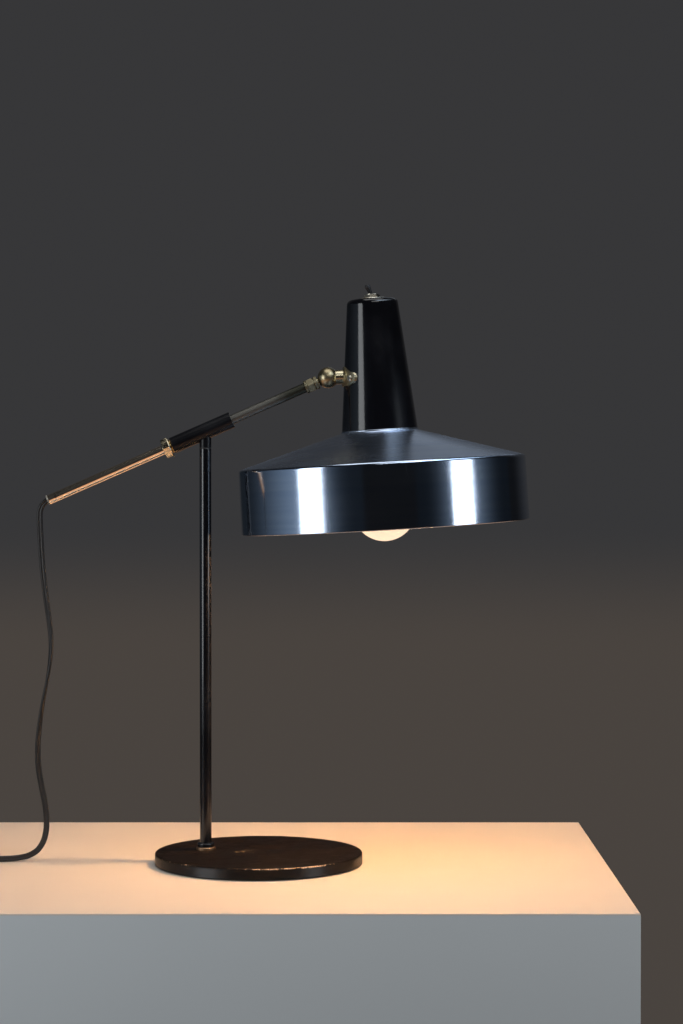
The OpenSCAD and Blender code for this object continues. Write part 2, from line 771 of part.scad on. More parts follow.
module ball_front() {
  spigot_end = head_reach + neck_washer_x + neck_nut_t + 1;
  color("#c9a046") at_head() difference() {
    union() {
      half_ball(-1);
      difference() {
        rotate([0, 90, 0]) rod(neck_d, channel_r, neck_reach + saddle_t);
        difference() {
          sphere(r = ball_clear_r);
          half_block(-1, ball_d);
        }
        translate([head_reach, 0, 0]) skin(-saddle_h, saddle_h, 0, saddle_t + 2 * seat);
      }
      rotate([0, 90, 0]) rod(spigot_d, neck_reach - 2, spigot_end);
    }
    rotate([0, 90, 0]) rod(wire_bore_d, boss_r + 0.5, spigot_end + 1);
    rotate([90, 0, 0]) rod(pivot_d + 2 * running, 0, -pivot_end_y + 0.5);
  }
}

// Everything within the housing's side, from a height to another, moved out by some distance
module skin(from, to, hole, out) {
  rotate_extrude() polygon([
    [hole, from], [side_r(from) + out, from], [side_r(to) + out, to], [hole, to]
  ]);
}

// A layer of the housing's side between two distances from it
module layer(from, to, inner, outer) {
  rotate_extrude() polygon([
    [side_r(from) + inner, from], [side_r(from) + outer, from],
    [side_r(to) + outer, to], [side_r(to) + inner, to]
  ]);
}

// A place on the housing's side at an angle from the neck, with +Z pointing out
module on_side(angle) {
  rotate([0, 0, 180 + angle]) translate([side_r(-saddle_sag), 0, -saddle_sag])
    rotate([0, 90 - cone_lean, 0]) children();
}

// The holes that the neck and the saddle screws pass through
module side_holes(room) {
  rotate([0, -90, 0]) rod(spigot_d + 2 * room, 0, 2 * cone_bottom_r);
  for (angle = [-saddle_angle, saddle_angle])
    on_side(angle) rod(saddle_screw_d + 2 * room, -8, 8);
}

module saddle_bracket() {
  end_y = saddle_r * sin(saddle_end_angle);
  low = -saddle_sag - saddle_end_r;
  high = -saddle_sag + saddle_end_r;
  waist_y = neck_d / 2;
  color("#b9a777") at_housing() difference() {
    intersection() {
      layer(min(low, -saddle_h / 2) - 1, saddle_h / 2 + 1, seat, seat + saddle_t);
      rotate([90, 0, -90]) linear_extrude(2 * cone_bottom_r) union() {
        polygon([
          [-end_y, low], [-waist_y, -saddle_h / 2], [waist_y, -saddle_h / 2], [end_y, low],
          [end_y, high], [waist_y, saddle_h / 2], [-waist_y, saddle_h / 2], [-end_y, high]
        ]);
        for (y = [-end_y, end_y])
          translate([y, -saddle_sag]) circle(r = saddle_end_r);
      }
    }
    side_holes(loose);
  }
}

module saddle_screws() {
  head_z = seat + saddle_t + seat;
  color("#a79563") at_housing() for (angle = [-saddle_angle, saddle_angle])
    on_side(angle) difference() {
      union() {
        rod(saddle_screw_d, -cone_wall - bracket_t - 3, head_z);
        rotate_extrude() polygon([
          [0, head_z], [saddle_head_d / 2, head_z], [saddle_head_d / 2, head_z + saddle_head_t * 0.5],
          [saddle_head_d / 2 * 0.7, head_z + saddle_head_t], [0, head_z + saddle_head_t]
        ]);
      }
      translate([-saddle_head_d, -0.45, head_z + saddle_head_t - 0.9]) cube([2 * saddle_head_d, 0.9, 2]);
    }
}

module neck_washer() {
  color("#9c9c98") at_housing() difference() {
    intersection() {
      rotate([0, -90, 0]) rod(neck_washer_d, -neck_washer_x, cone_bottom_r);
      skin(-neck_washer_d, neck_washer_d, 0, -cone_skin - bracket_t / cos(cone_lean) - 2 * loose);
    }
    rotate([0, -90, 0]) rod(spigot_d + 2 * loose, 0, cone_bottom_r);
  }
}

module neck_nut() {
  color("#a8a08a") at_housing() rotate([0, -90, 0]) difference() {
    hexagon(neck_nut_af, -neck_washer_x - neck_nut_t, -neck_washer_x);
    rod(spigot_d + 2 * loose, 0, cone_bottom_r);
  }
}

// Housing

module cone_housing() {
  foot_z = cone_z + cone_wall * sin(cone_lean) + seat;
  bend_z = cone_top_z - cone_edge_r;
  bend = [side_r(bend_z) - cone_edge_r / cos(cone_lean), bend_z];
  outside = concat(
    [[side_r(foot_z), foot_z]],
    arc(bend, cone_edge_r, cone_lean, 90, 6),
    [[bushing_d / 2 + air, cone_top_z]]
  );
  color("#0c0c0d") at_housing() difference() {
    rotate_extrude() polygon(wall_of(outside, -cone_wall));
    side_holes(loose);
  }
}

module inner_bracket() {
  skin_t = bracket_t / cos(cone_lean);
  outer = -cone_skin - loose;
  color("#8d8f92") at_housing() difference() {
    union() {
      intersection() {
        layer(-bracket_half_h - bracket_t, bracket_half_h, outer - skin_t, outer);
        rotate([90, 0, -90]) linear_extrude(2 * cone_bottom_r)
          square([2 * bracket_r * sin(saddle_angle + 8), 4 * bracket_half_h], center = true);
      }
      intersection() {
        skin(bracket_z, bracket_z + bracket_t, 0, outer - skin_t / 2);
        translate([-cone_bottom_r, -nipple_nut_af, bracket_z])
          cube([cone_bottom_r + nipple_nut_af, 2 * nipple_nut_af, bracket_t]);
      }
    }
    side_holes(loose);
    rod(nipple_d + 2 * loose, bracket_z - 1, bracket_z + bracket_t + 1);
  }
}

// Lampholder and bulb

module holder_nipple() {
  color("#b59a55") at_housing() pipe(nipple_d, nipple_d - 2 * nipple_wall, nipple_z, nipple_top_z);
}

module nipple_nuts() {
  color("#9a8f70") at_housing() difference() {
    union() {
      hexagon(nipple_nut_af, bracket_z + bracket_t, bracket_z + bracket_t + nipple_nut_t);
      hexagon(nipple_nut_af, bracket_z - nipple_nut_t, bracket_z);
    }
    rod(nipple_d + 2 * seat, nipple_z, nipple_top_z);
  }
}

module holder_cap() {
  skirt_r = holder_neck_r + loose + cap_wall;
  outside = [
    [skirt_r, ledge_z + seat],
    [skirt_r, holder_top_z + cap_wall],
    [cap_boss_r, cap_top_z - cap_boss_h + cap_wall]
  ];
  color("#1d1713") at_housing() difference() {
    union() {
      rotate_extrude() polygon(wall_of(outside, -cap_wall));
      rod(2 * cap_boss_r + 0.2, cap_top_z - cap_boss_h, cap_top_z);
    }
    rod(nipple_d + 2 * seat, holder_top_z, cap_top_z + 1);
  }
}

module holder_body() {
  skirt_z = cone_z - skirt_l;
  color("#1d1713") at_housing() difference() {
    union() {
      rod(2 * holder_r, skirt_z, ledge_z);
      rod(2 * shoulder_r, shoulder_z, ledge_z);
      rod(2 * holder_neck_r, ledge_z, holder_top_z);
    }
    rod(2 * (holder_r - holder_wall), skirt_z - 1, ledge_z - 1);
    rod(2 * (shell_inner_r + shell_t + air), skirt_z, holder_top_z + 1);
    rod(2 * (holder_neck_r - cap_wall), insert_z, holder_top_z + 1);
  }
}

module holder_insert() {
  color("#e6e0d4") at_housing() difference() {
    rod(2 * (holder_neck_r - cap_wall - loose), insert_z, insert_z + insert_t);
    for (x = [-8, 8])
      translate([x, 0, 0]) rod(3, insert_z - 1, insert_z + insert_t + 1);
  }
}

module screw_shell() {
  color("#c9a64e") at_housing() difference() {
    rod(2 * (shell_inner_r + shell_t), insert_z - shell_l, insert_z);
    rod(2 * shell_inner_r, insert_z - shell_l - 1, insert_z - shell_t);
    rod(2 * contact_r + 2, insert_z - shell_l, insert_z + 1);
  }
}

module centre_contact() {
  color("#c9a64e") at_housing() rod(2 * contact_r - 2, bulb_top_z + seat, insert_z);
}

module shade_ring() {
  ring_z = cone_z - sheet_t - seat;
  color("#1d1713") at_housing() difference() {
    rotate_extrude() polygon([
      [0, ring_z - ring_h], [holder_r + ring_t - 1, ring_z - ring_h],
      [holder_r + ring_t, ring_z - ring_h + 1], [holder_r + ring_t, ring_z], [0, ring_z]
    ]);
    rod(2 * (holder_r + loose), ring_z - ring_h - 1, ring_z + 1);
  }
}

module shade() {
  shoulder = cone_z - shade_collar;
  roof_end = shoulder - roof_fall;
  slope = atan(roof_fall / (roof_r - cone_bottom_r));
  bend = [roof_r - rim_bend_r, roof_end - rim_bend_r + rim_bend_r * (1 - cos(slope)) * 2];
  outside = concat(
    [[holder_r + 2 * loose, cone_z], [cone_bottom_r + 0.2, cone_z], [cone_bottom_r + 0.6, shoulder]],
    arc(bend, rim_bend_r, 90 - slope, 0, 5),
    [[roof_r + rim_flare, roof_end - rim_h]]
  );
  color("#aab3bf") at_housing() rotate_extrude() polygon(wall_of(outside, sheet_t));
}

module bulb_cap() {
  rim_z = bulb_top_z - bulb_cap_l;
  color("#b8ae96") at_housing() rotate_extrude() polygon([
    [0, bulb_top_z], [contact_r, bulb_top_z], [contact_r, bulb_top_z - 1.4], [cap_r - 3, bulb_top_z - 3.5],
    [cap_r, bulb_top_z - 6], [cap_r, rim_z], [glass_neck_r + loose, rim_z],
    [glass_neck_r + loose, rim_z + glass_neck_l + loose], [0, rim_z + glass_neck_l + loose]
  ]);
}

module bulb_glass() {
  rim_z = bulb_top_z - bulb_cap_l;
  flare_z = rim_z - 1;
  belly_z = bulb_top_z - bulb_l + bulb_d / 2;
  belly = [0, belly_z];
  outside = concat(
    [[glass_neck_r, rim_z + glass_neck_l], [glass_neck_r, rim_z - loose]],
    [for (i = [0 : flare_steps - 1])
      let (share = i / flare_steps)
      [glass_shoulder_r + (bulb_d / 2 - glass_shoulder_r) * (1 - cos(180 * share)) / 2,
       flare_z + (belly_z - flare_z) * share]],
    arc(belly, bulb_d / 2, 0, -90, 10)
  );
  color("#fff3dc") at_housing() rotate_extrude() polygon(wall_of(outside, glass_t));
}

// Switch and wires in the head

module switch_body() {
  color("#26221f") at_housing() translate([-switch_w / 2, -switch_depth / 2, switch_z])
    cube([switch_w, switch_depth, switch_h]);
}

module switch_bushing() {
  color("#c4bfae") at_housing() difference() {
    rod(bushing_d, switch_top_z, bushing_top_z);
    rotate_extrude() polygon([
      [0, switch_top_z + 0.5], [bushing_bore_r, switch_top_z + 0.5], [bushing_bore_r, pivot_z],
      [bushing_mouth_r, bushing_top_z + 0.1], [0, bushing_top_z + 0.1]
    ]);
  }
}

module switch_plate() {
  color("#c9c4b2") at_housing() difference() {
    rotate_extrude() polygon(concat(
      [[0, plate_z], [plate_d / 2, plate_z]],
      arc([plate_d / 2 - plate_t + 0.6, plate_z + 0.6], plate_t - 0.6, 0, 90, 5),
      [[0, plate_z + plate_t]]
    ));
    rod(bushing_d + 2 * loose, plate_z - 1, plate_z + plate_t + 1);
  }
}

module switch_nut() {
  color("#bdb7a4") at_housing() difference() {
    hexagon(ring_nut_d, ring_nut_z, ring_nut_z + ring_nut_t);
    rod(bushing_d + 2 * seat, ring_nut_z - 1, ring_nut_z + ring_nut_t + 1);
  }
}

module switch_lever() {
  color("#101010") at_housing() translate([0, 0, pivot_z]) rotate([0, -lever_lean, 0]) union() {
    rotate([90, 0, 0]) rod(lever_barrel_d, -lever_barrel_l / 2, lever_barrel_l / 2);
    rotate_extrude() polygon(concat(
      [[0, 0], [lever_neck_d / 2, 0], [lever_neck_d / 2, 3.5], [lever_d / 2, lever_l - 3]],
      arc([lever_d / 2 - 1.5, lever_l - 1.5], 1.5, 0, 90, 5),
      [[0, lever_l]]
    ));
  }
}

module head_wires() {
  spigot_x = neck_washer_x + neck_nut_t + 1;
  supply = [
    [spigot_x, 0, 0], [spigot_x + 3, 0, 0], [spigot_x + 9, 0, 6], [-8, 0, 20], [-4.5, 0, 34],
    [-4, 0, switch_z - 6], [-4, 0, switch_z]
  ];
  lamp = [
    [4, 0, switch_z], [4, 0, switch_z - 6], [5, 0, 30], [3.5, 0, 14], [0.6, 0, 3], [0, 0, -4],
    [0, 0, insert_z + insert_t + 6], [0, 0, insert_z + insert_t]
  ];
  color("#5b2f24") at_housing() {
    swept(supply, wire_d, 8, [0, 1, 0]);
    swept(lamp, wire_d, 8, [0, 1, 0]);
  }
}

// Cord

module cord_drop() {
  color("#151414") swept(drop_route, cord_d, 10, [0, 1, 0]);
}

module cord_coil() {
  color("#151414") swept(coil_points, cord_d, 6, [0, 0, 1]);
}

module cord_tail() {
  color("#151414") swept(tail_route, cord_d, 10, [0, 0, 1]);
}

module coil_tie() {
  strands = [for (a = [270 : 360 : 2 * coil_half]) coil_point(a)[0]];
  inner = [max(strands) - min(strands) + cord_d + 3 * coil_space, coil_pitch + cord_d + coil_space];
  middle = [(max(strands) + min(strands)) / 2, coil_y, tie_t + inner[1] / 2];
  color("#2b2b2b") translate(middle) rotate([90, 0, 0]) linear_extrude(tie_w, center = true) difference() {
    square([inner[0] + 2 * tie_t, inner[1] + 2 * tie_t], center = true);
    square(inner, center = true);
  }
}

// The plug lies along +Y with its tapered sleeve towards the cord
module at_plug() {
  translate([coil_out[0] - 0.5, plug_y, 0]) children();
}

module plug_body() {
  slope_l = plug_l * 0.4;
  back_w = 13;
  color("#161616") at_plug() {
    intersection() {
      linear_extrude(plug_t) polygon([
        [-back_w / 2, 0], [back_w / 2, 0],
        [plug_w / 2, slope_l], [plug_w / 2, plug_l], [-plug_w / 2, plug_l],
        [-plug_w / 2, slope_l]
      ]);
      rotate([90, 0, 90]) linear_extrude(2 * plug_w, center = true) polygon([
        [0, 2], [slope_l / 2, 0], [plug_l, 0], [plug_l, plug_t], [slope_l / 2, plug_t], [0, plug_t - 2]
      ]);
    }
    translate([0, -plug_sleeve_l, plug_t / 2]) rotate([-90, 0, 0])
      cylinder(r1 = cord_d / 2 + 0.8, r2 = plug_t / 2 - 2, h = plug_sleeve_l);
  }
}

module plug_pins() {
  color("#c9c6ba") at_plug() for (x = [-pin_space / 2, pin_space / 2])
    translate([x, plug_l, plug_t / 2]) rotate([-90, 0, 0]) rotate_extrude() polygon([
      [0, 0], [pin_d / 2, 0], [pin_d / 2, pin_l - 1.2], [pin_d / 2 - 1, pin_l], [0, pin_l]
    ]);
}

base_disc();
base_felt();
foot_washer();
foot_collar();
stem_tube();
stem_plug();
stem_bolt();
bolt_washer();
thrust_washer();
swivel_grub();
pivot_sleeve();
guide_bush();
collet_insert();
clamp_nut();
arm_tube();
end_bush();
cord_grip_screw();
inner_flex();
arm_ferrule();
ferrule_grub();
ball_rear();
friction_washer();
pivot_screw();
ball_front();
saddle_bracket();
saddle_screws();
neck_washer();
neck_nut();
cone_housing();
inner_bracket();
holder_nipple();
nipple_nuts();
holder_cap();
holder_body();
holder_insert();
screw_shell();
centre_contact();
shade_ring();
shade();
bulb_cap();
bulb_glass();
switch_body();
switch_bushing();
switch_plate();
switch_nut();
switch_lever();
head_wires();
cord_drop();
cord_coil();
cord_tail();
coil_tie();
plug_body();
plug_pins();
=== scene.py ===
"""Desk lamp on a pale table: its finishes, its fine surfaces, its cord, the light and the camera.

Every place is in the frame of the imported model: +Z up, +X along the arm towards the shade, -Y towards the viewer,
origin in the middle of the base's underside. Pieces are worked out in millimetres and set in the model in metres.
"""

import logging
import math
from dataclasses import dataclass, field
from enum import Enum
from typing import Callable, Optional, Sequence, Union

import bmesh
import bpy
import numpy as np
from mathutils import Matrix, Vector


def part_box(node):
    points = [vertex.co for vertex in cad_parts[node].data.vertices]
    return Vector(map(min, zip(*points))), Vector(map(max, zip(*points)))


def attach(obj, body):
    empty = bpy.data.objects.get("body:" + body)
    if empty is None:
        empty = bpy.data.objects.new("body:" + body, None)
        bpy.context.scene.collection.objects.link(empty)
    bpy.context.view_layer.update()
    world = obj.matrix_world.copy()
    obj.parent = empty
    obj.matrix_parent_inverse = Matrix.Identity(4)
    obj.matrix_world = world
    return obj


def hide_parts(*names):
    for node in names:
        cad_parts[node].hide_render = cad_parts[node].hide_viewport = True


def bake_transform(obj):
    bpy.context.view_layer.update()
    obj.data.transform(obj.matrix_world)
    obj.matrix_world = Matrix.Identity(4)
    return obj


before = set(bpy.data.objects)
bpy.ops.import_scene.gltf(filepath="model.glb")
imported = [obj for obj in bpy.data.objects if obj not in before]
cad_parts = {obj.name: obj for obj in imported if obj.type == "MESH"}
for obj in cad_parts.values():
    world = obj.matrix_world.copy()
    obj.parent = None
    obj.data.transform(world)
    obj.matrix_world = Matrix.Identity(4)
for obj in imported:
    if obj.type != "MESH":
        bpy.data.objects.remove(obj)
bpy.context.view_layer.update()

LOG = logging.getLogger("lamp")
MM = 0.001
Array = np.ndarray
Pair = tuple[float, float]
Colour = Corner = Point = tuple[float, float, float]
Swell = Callable[[Array, Array], Array]
Material = bpy.types.Material
Object = bpy.types.Object
Node = bpy.types.Node
Socket = bpy.types.NodeSocket
Value = Union[float, Sequence[float], Socket]


# Geometry


class Surface(Enum):
    """How the edges of a surface's grid meet."""

    PIPE = "columns close round"
    TORUS = "rows and columns close round"


@dataclass(frozen=True)
class Place:
    """A local frame in the lamp: pieces are worked out in it, in millimetres, and then set in the model.

    Attributes:
        origin: Where the local origin is, in millimetres.
        tilt: Turn about +Y, in degrees, which leans local +Z towards +X.
    """

    origin: Point
    tilt: float = 0.0

    def axes(self) -> Array:
        """Returns the local axes as rows."""
        a = math.radians(self.tilt)
        return np.array([[math.cos(a), 0, -math.sin(a)], [0, 1, 0], [math.sin(a), 0, math.cos(a)]])

    def point(self, local: Array) -> Array:
        """Carries local millimetres to model metres: origin + x X + y Y + z Z."""
        return (np.asarray(local, float) @ self.axes() + np.array(self.origin)) * MM


ARM_TILT = 23.6
HEAD_LEAN = 3.35
STEM = Place((-54.5, 14.0, 0.0))
ARM = Place((-54.5, 14.0, 438.5), 90 - ARM_TILT)
BALL = Place((70.3086, 14.0, 493.0275), -HEAD_LEAN)
HEAD = Place(tuple(BALL.point([49.4463, 0, 0]) / MM), -HEAD_LEAN)
MOST = 0.42  # A rounding takes at most this share of a side.
GUARD = 0.14  # A flat side gets a point this far beyond a rounding, as a share of its size.
MERGED = 1e-7  # Points nearer than this are one.


def unit(vectors: Array) -> Array:
    """Returns vectors divided by their own length."""
    return vectors / np.linalg.norm(vectors, axis=-1, keepdims=True)


def walked(points: Array) -> Array:
    """Returns the distance walked along a line, up to each of its points."""
    return np.concatenate([[0], np.cumsum(np.linalg.norm(np.diff(points, axis=0), axis=1))])


def eased(share: Array) -> Array:
    """Returns a share from 0 to 1 that starts and ends softly: 3 s s - 2 s s s."""
    return share * share * (3 - 2 * share)


def capped(grid: Array, first: Array, last: Array) -> Array:
    """Closes a pipe's grid by a row of one repeated point at each end."""
    caps = [np.broadcast_to(point, (1, grid.shape[1], 3)) for point in (first, last)]
    return np.concatenate([caps[0], grid, caps[1]], axis=0)


def rounded(corners: Sequence[Corner], closed: bool = True, steps: int = 6) -> Array:
    """Softens the corners of an outline.

    Each corner (r, z, size) becomes a quadratic curve between the two points that lie size away from it along
    its sides, with one more point a little further out, so that long flat sides keep a flat shade.

    Args:
        corners: The outline's corners with the size of each rounding.
        closed: Whether the last corner joins the first.
        steps: Number of steps in each curve.

    Returns:
        The softened outline as an array of (r, z).
    """
    count = len(corners)
    xy = np.array([c[:2] for c in corners], float)
    t = np.linspace(0, 1, steps + 1)[:, None]
    out: list[Array] = []
    for i, (_, _, size) in enumerate(corners):
        if size <= 0 or (not closed and i in (0, count - 1)):
            out.append(xy[i : i + 1])
            continue
        sides = (xy[i - 1] - xy[i], xy[(i + 1) % count] - xy[i])
        start, end = (xy[i] + unit(side) * min(size, MOST * np.linalg.norm(side)) for side in sides)
        curve = (1 - t) ** 2 * start + 2 * t * (1 - t) * xy[i] + t**2 * end
        out.append(np.vstack([start + (start - xy[i]) * GUARD, curve, end + (end - xy[i]) * GUARD]))
    return np.vstack(out)


def ring(radii: Pair, heights: Pair, soft: Sequence[float], steps: int = 6) -> Array:
    """Outlines a plain ring with soft corners.

    Args:
        radii: Its inner and outer radius.
        heights: Its lower and upper face.
        soft: Size of each rounding: inner low, outer low, outer high, inner high.
        steps: Number of steps in each curve.

    Returns:
        The softened outline as an array of (r, z).
    """
    (inner, outer), (low, high) = radii, heights
    corners = zip((inner, outer, outer, inner), (low, low, high, high), soft)
    return rounded(list(corners), steps=steps)


def lathe(profile: Array, segments: int, swell: Optional[Swell] = None) -> Array:
    """Turns a profile about the local Z axis: (r cos a, r sin a, z) on a grid of profile by angle.

    Args:
        profile: Points (r, z) along the profile.
        segments: Number of steps round the axis.
        swell: Changes the radius by angle, as for a hexagon: takes radius and angle grids.

    Returns:
        A grid of local points.
    """
    angle = np.linspace(0, 2 * np.pi, segments, endpoint=False)[None, :]
    r, z = (np.repeat(profile[:, k : k + 1], segments, axis=1) for k in (0, 1))
    if swell is not None:
        r = swell(r, np.repeat(angle, len(profile), axis=0))
    return np.stack([r * np.cos(angle), r * np.sin(angle), z], axis=-1)


def hexed(flats: float, soft: float) -> Swell:
    """Limits a turned radius to a hexagon with soft corners.

    The hexagon's radius at an angle is half the width across its flats over cos of the angle to the nearest
    flat, and the smaller of the two radii is taken with a soft minimum.

    Args:
        flats: Width across the flats.
        soft: How far the corners are eased.

    Returns:
        A function of the radius and angle grids.
    """

    def limit(r: Array, angle: Array) -> Array:
        """Returns the soft minimum of the turned radius and the hexagon's."""
        hexagon = flats / 2 / np.cos(np.mod(angle + np.pi / 6, np.pi / 3) - np.pi / 6)
        return (r + hexagon - np.sqrt((r - hexagon) ** 2 + soft**2 * 0.25)) / 2

    return limit


def sheet_object(
    name: str,
    grid: Array,
    finishes: Sequence[Material],
    surface: Surface = Surface.PIPE,
    row_finish: Optional[Array] = None,
    sharp: float = 40.0,
) -> Object:
    """Makes an object from a grid of model points, with quads between neighbours.

    Args:
        name: Name of the piece.
        grid: Points of shape (rows, columns, 3), in metres.
        finishes: Materials of the piece.
        surface: How the grid closes. A pipe whose end rows are single points is closed there.
        row_finish: Number of the material for each row of quads.
        sharp: Edges that turn by more than this many degrees stay sharp.

    Returns:
        The new object, at the origin, with a UV map that runs round and along it.
    """
    rows, cols = grid.shape[:2]
    spans = rows if surface is Surface.TORUS else rows - 1
    i, j = np.meshgrid(np.arange(spans), np.arange(cols), indexing="ij")
    round_quad = ((0, 0), (1, 0), (1, 1), (0, 1))
    quads = np.stack([(i + di) % rows * cols + (j + dj) % cols for dj, di in round_quad], axis=-1).reshape(-1, 4)
    shares = [np.stack([j + dj, i + di], axis=-1) / np.array([cols, spans]) for dj, di in round_quad]
    uv = np.stack(shares, axis=2).reshape(-1, 4, 2)
    points = grid.reshape(-1, 3)
    p = points[quads]
    volume = sum(np.einsum("ij,ij->i", p[:, 0], np.cross(p[:, k], p[:, k + 1])).sum() for k in (1, 2))
    if volume < 0:
        quads, uv = quads[:, ::-1], uv[:, ::-1]
    mesh = bpy.data.meshes.new(name)
    mesh.from_pydata(points.tolist(), [], quads.tolist())
    mesh.uv_layers.new(name="along").data.foreach_set("uv", uv.reshape(-1).astype(np.float32))
    if row_finish is not None:
        mesh.polygons.foreach_set("material_index", np.repeat(row_finish[:spans], cols).astype(np.int32))
    for finish in finishes:
        mesh.materials.append(finish)
    work = bmesh.new()
    work.from_mesh(mesh)
    bmesh.ops.remove_doubles(work, verts=work.verts, dist=MERGED)
    work.to_mesh(mesh)
    work.free()
    mesh.polygons.foreach_set("use_smooth", np.ones(len(mesh.polygons), bool))
    mesh.set_sharp_from_angle(angle=math.radians(sharp))
    mesh.update()
    obj = bpy.data.objects.new(name, mesh)
    bpy.context.scene.collection.objects.link(obj)
    return obj


def carry(obj: Object, body: str, node: str = "") -> Object:
    """Puts a piece on a body and hides the solid that it stands for.

    Args:
        obj: The piece.
        body: The body that carries it.
        node: The solid that it replaces.

    Returns:
        The same object.
    """
    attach(obj, body)
    if node:
        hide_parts(node)
    LOG.info("piece %s on %s, %d faces", obj.name, body, len(obj.data.polygons))
    return obj


# Materials


def rgba(colour: Sequence[float]) -> tuple[float, ...]:
    """Returns a colour with full alpha."""
    return (*colour, 1.0)


class Net:
    """A node tree that nodes are added to in short calls."""

    def __init__(self, tree: bpy.types.NodeTree) -> None:
        """Keeps the tree."""
        self.tree = tree

    def feed(self, node: Node, inputs: dict) -> None:
        """Links outputs to a node's sockets, or sets the sockets' own values.

        Args:
            node: The node.
            inputs: Input name or number to a value or to an output socket.
        """
        for key, value in inputs.items():
            if isinstance(value, Socket):
                self.tree.links.new(value, node.inputs[key])
            else:
                node.inputs[key].default_value = value

    def add(self, kind: str, inputs: Optional[dict] = None, **settings: object) -> Node:
        """Adds a node, sets it up and wires its inputs.

        Args:
            kind: The node's type without the ShaderNode prefix.
            inputs: Input name or number to a value or to an output socket.
            settings: Attributes of the node.

        Returns:
            The new node.
        """
        node = self.tree.nodes.new("ShaderNode" + kind)
        for key, value in settings.items():
            setattr(node, key, value)
        self.feed(node, inputs or {})
        return node

    def math(self, operation: str, a: Value, b: Value = 0.0, clamp: bool = False) -> Socket:
        """Adds a Math node and returns its result."""
        return self.add("Math", {0: a, 1: b}, operation=operation, use_clamp=clamp).outputs[0]

    def plus(self, a: Value, b: Value) -> Socket:
        """Returns a + b."""
        return self.math("ADD", a, b)

    def minus(self, a: Value, b: Value) -> Socket:
        """Returns a - b."""
        return self.math("SUBTRACT", a, b)

    def times(self, a: Value, b: Value) -> Socket:
        """Returns a times b."""
        return self.math("MULTIPLY", a, b)

    def radius(self, x: Value, y: Value, squash: float = 1.0) -> Socket:
        """Returns the square root of x squared plus squash times y squared."""
        return self.math("SQRT", self.plus(self.times(x, x), self.times(self.times(y, y), squash)))

    def vector(self, operation: str, inputs: dict) -> Socket:
        """Adds a Vector Math node and returns its result."""
        return self.add("VectorMath", inputs, operation=operation).outputs[0]

    def split(self, vector: Value) -> list[Socket]:
        """Returns the three parts of a vector."""
        return self.add("SeparateXYZ", {0: vector}).outputs[:3]

    def stretch(self, vector: Value, scale: Point, turn: Point = (0.0, 0.0, 0.0)) -> Socket:
        """Returns coordinates that are scaled and then turned."""
        return self.add("Mapping", {"Vector": vector, "Rotation": turn, "Scale": scale}).outputs[0]

    def noise(self, vector: Value, scale: Value, detail: float = 3.0, rough: float = 0.55) -> Socket:
        """Adds a noise texture and returns its value."""
        inputs = {"Vector": vector, "Scale": scale, "Detail": detail, "Roughness": rough}
        return self.add("TexNoise", inputs).outputs[0]

    def rings(self, along: Value, scale: Value, detail: float, rough: float = 0.5) -> Socket:
        """Adds a noise texture of one number and returns its value."""
        inputs = {"W": along, "Scale": scale, "Detail": detail, "Roughness": rough}
        return self.add("TexNoise", inputs, noise_dimensions="1D").outputs[0]

    def span(self, value: Value, low: Value, high: Value, to_low: Value = 0.0, to_high: Value = 1.0) -> Socket:
        """Maps low..high smoothly to another range and returns the result."""
        inputs = {"Value": value, "From Min": low, "From Max": high, "To Min": to_low, "To Max": to_high}
        return self.add("MapRange", inputs, interpolation_type="SMOOTHSTEP").outputs[0]

    def mix(self, share: Value, a: Value, b: Value) -> Socket:
        """Mixes two colours by a share and returns the result."""
        a, b = (c if isinstance(c, Socket) else rgba(c) for c in (a, b))
        return self.add("Mix", {0: share, 6: a, 7: b}, data_type="RGBA").outputs[2]


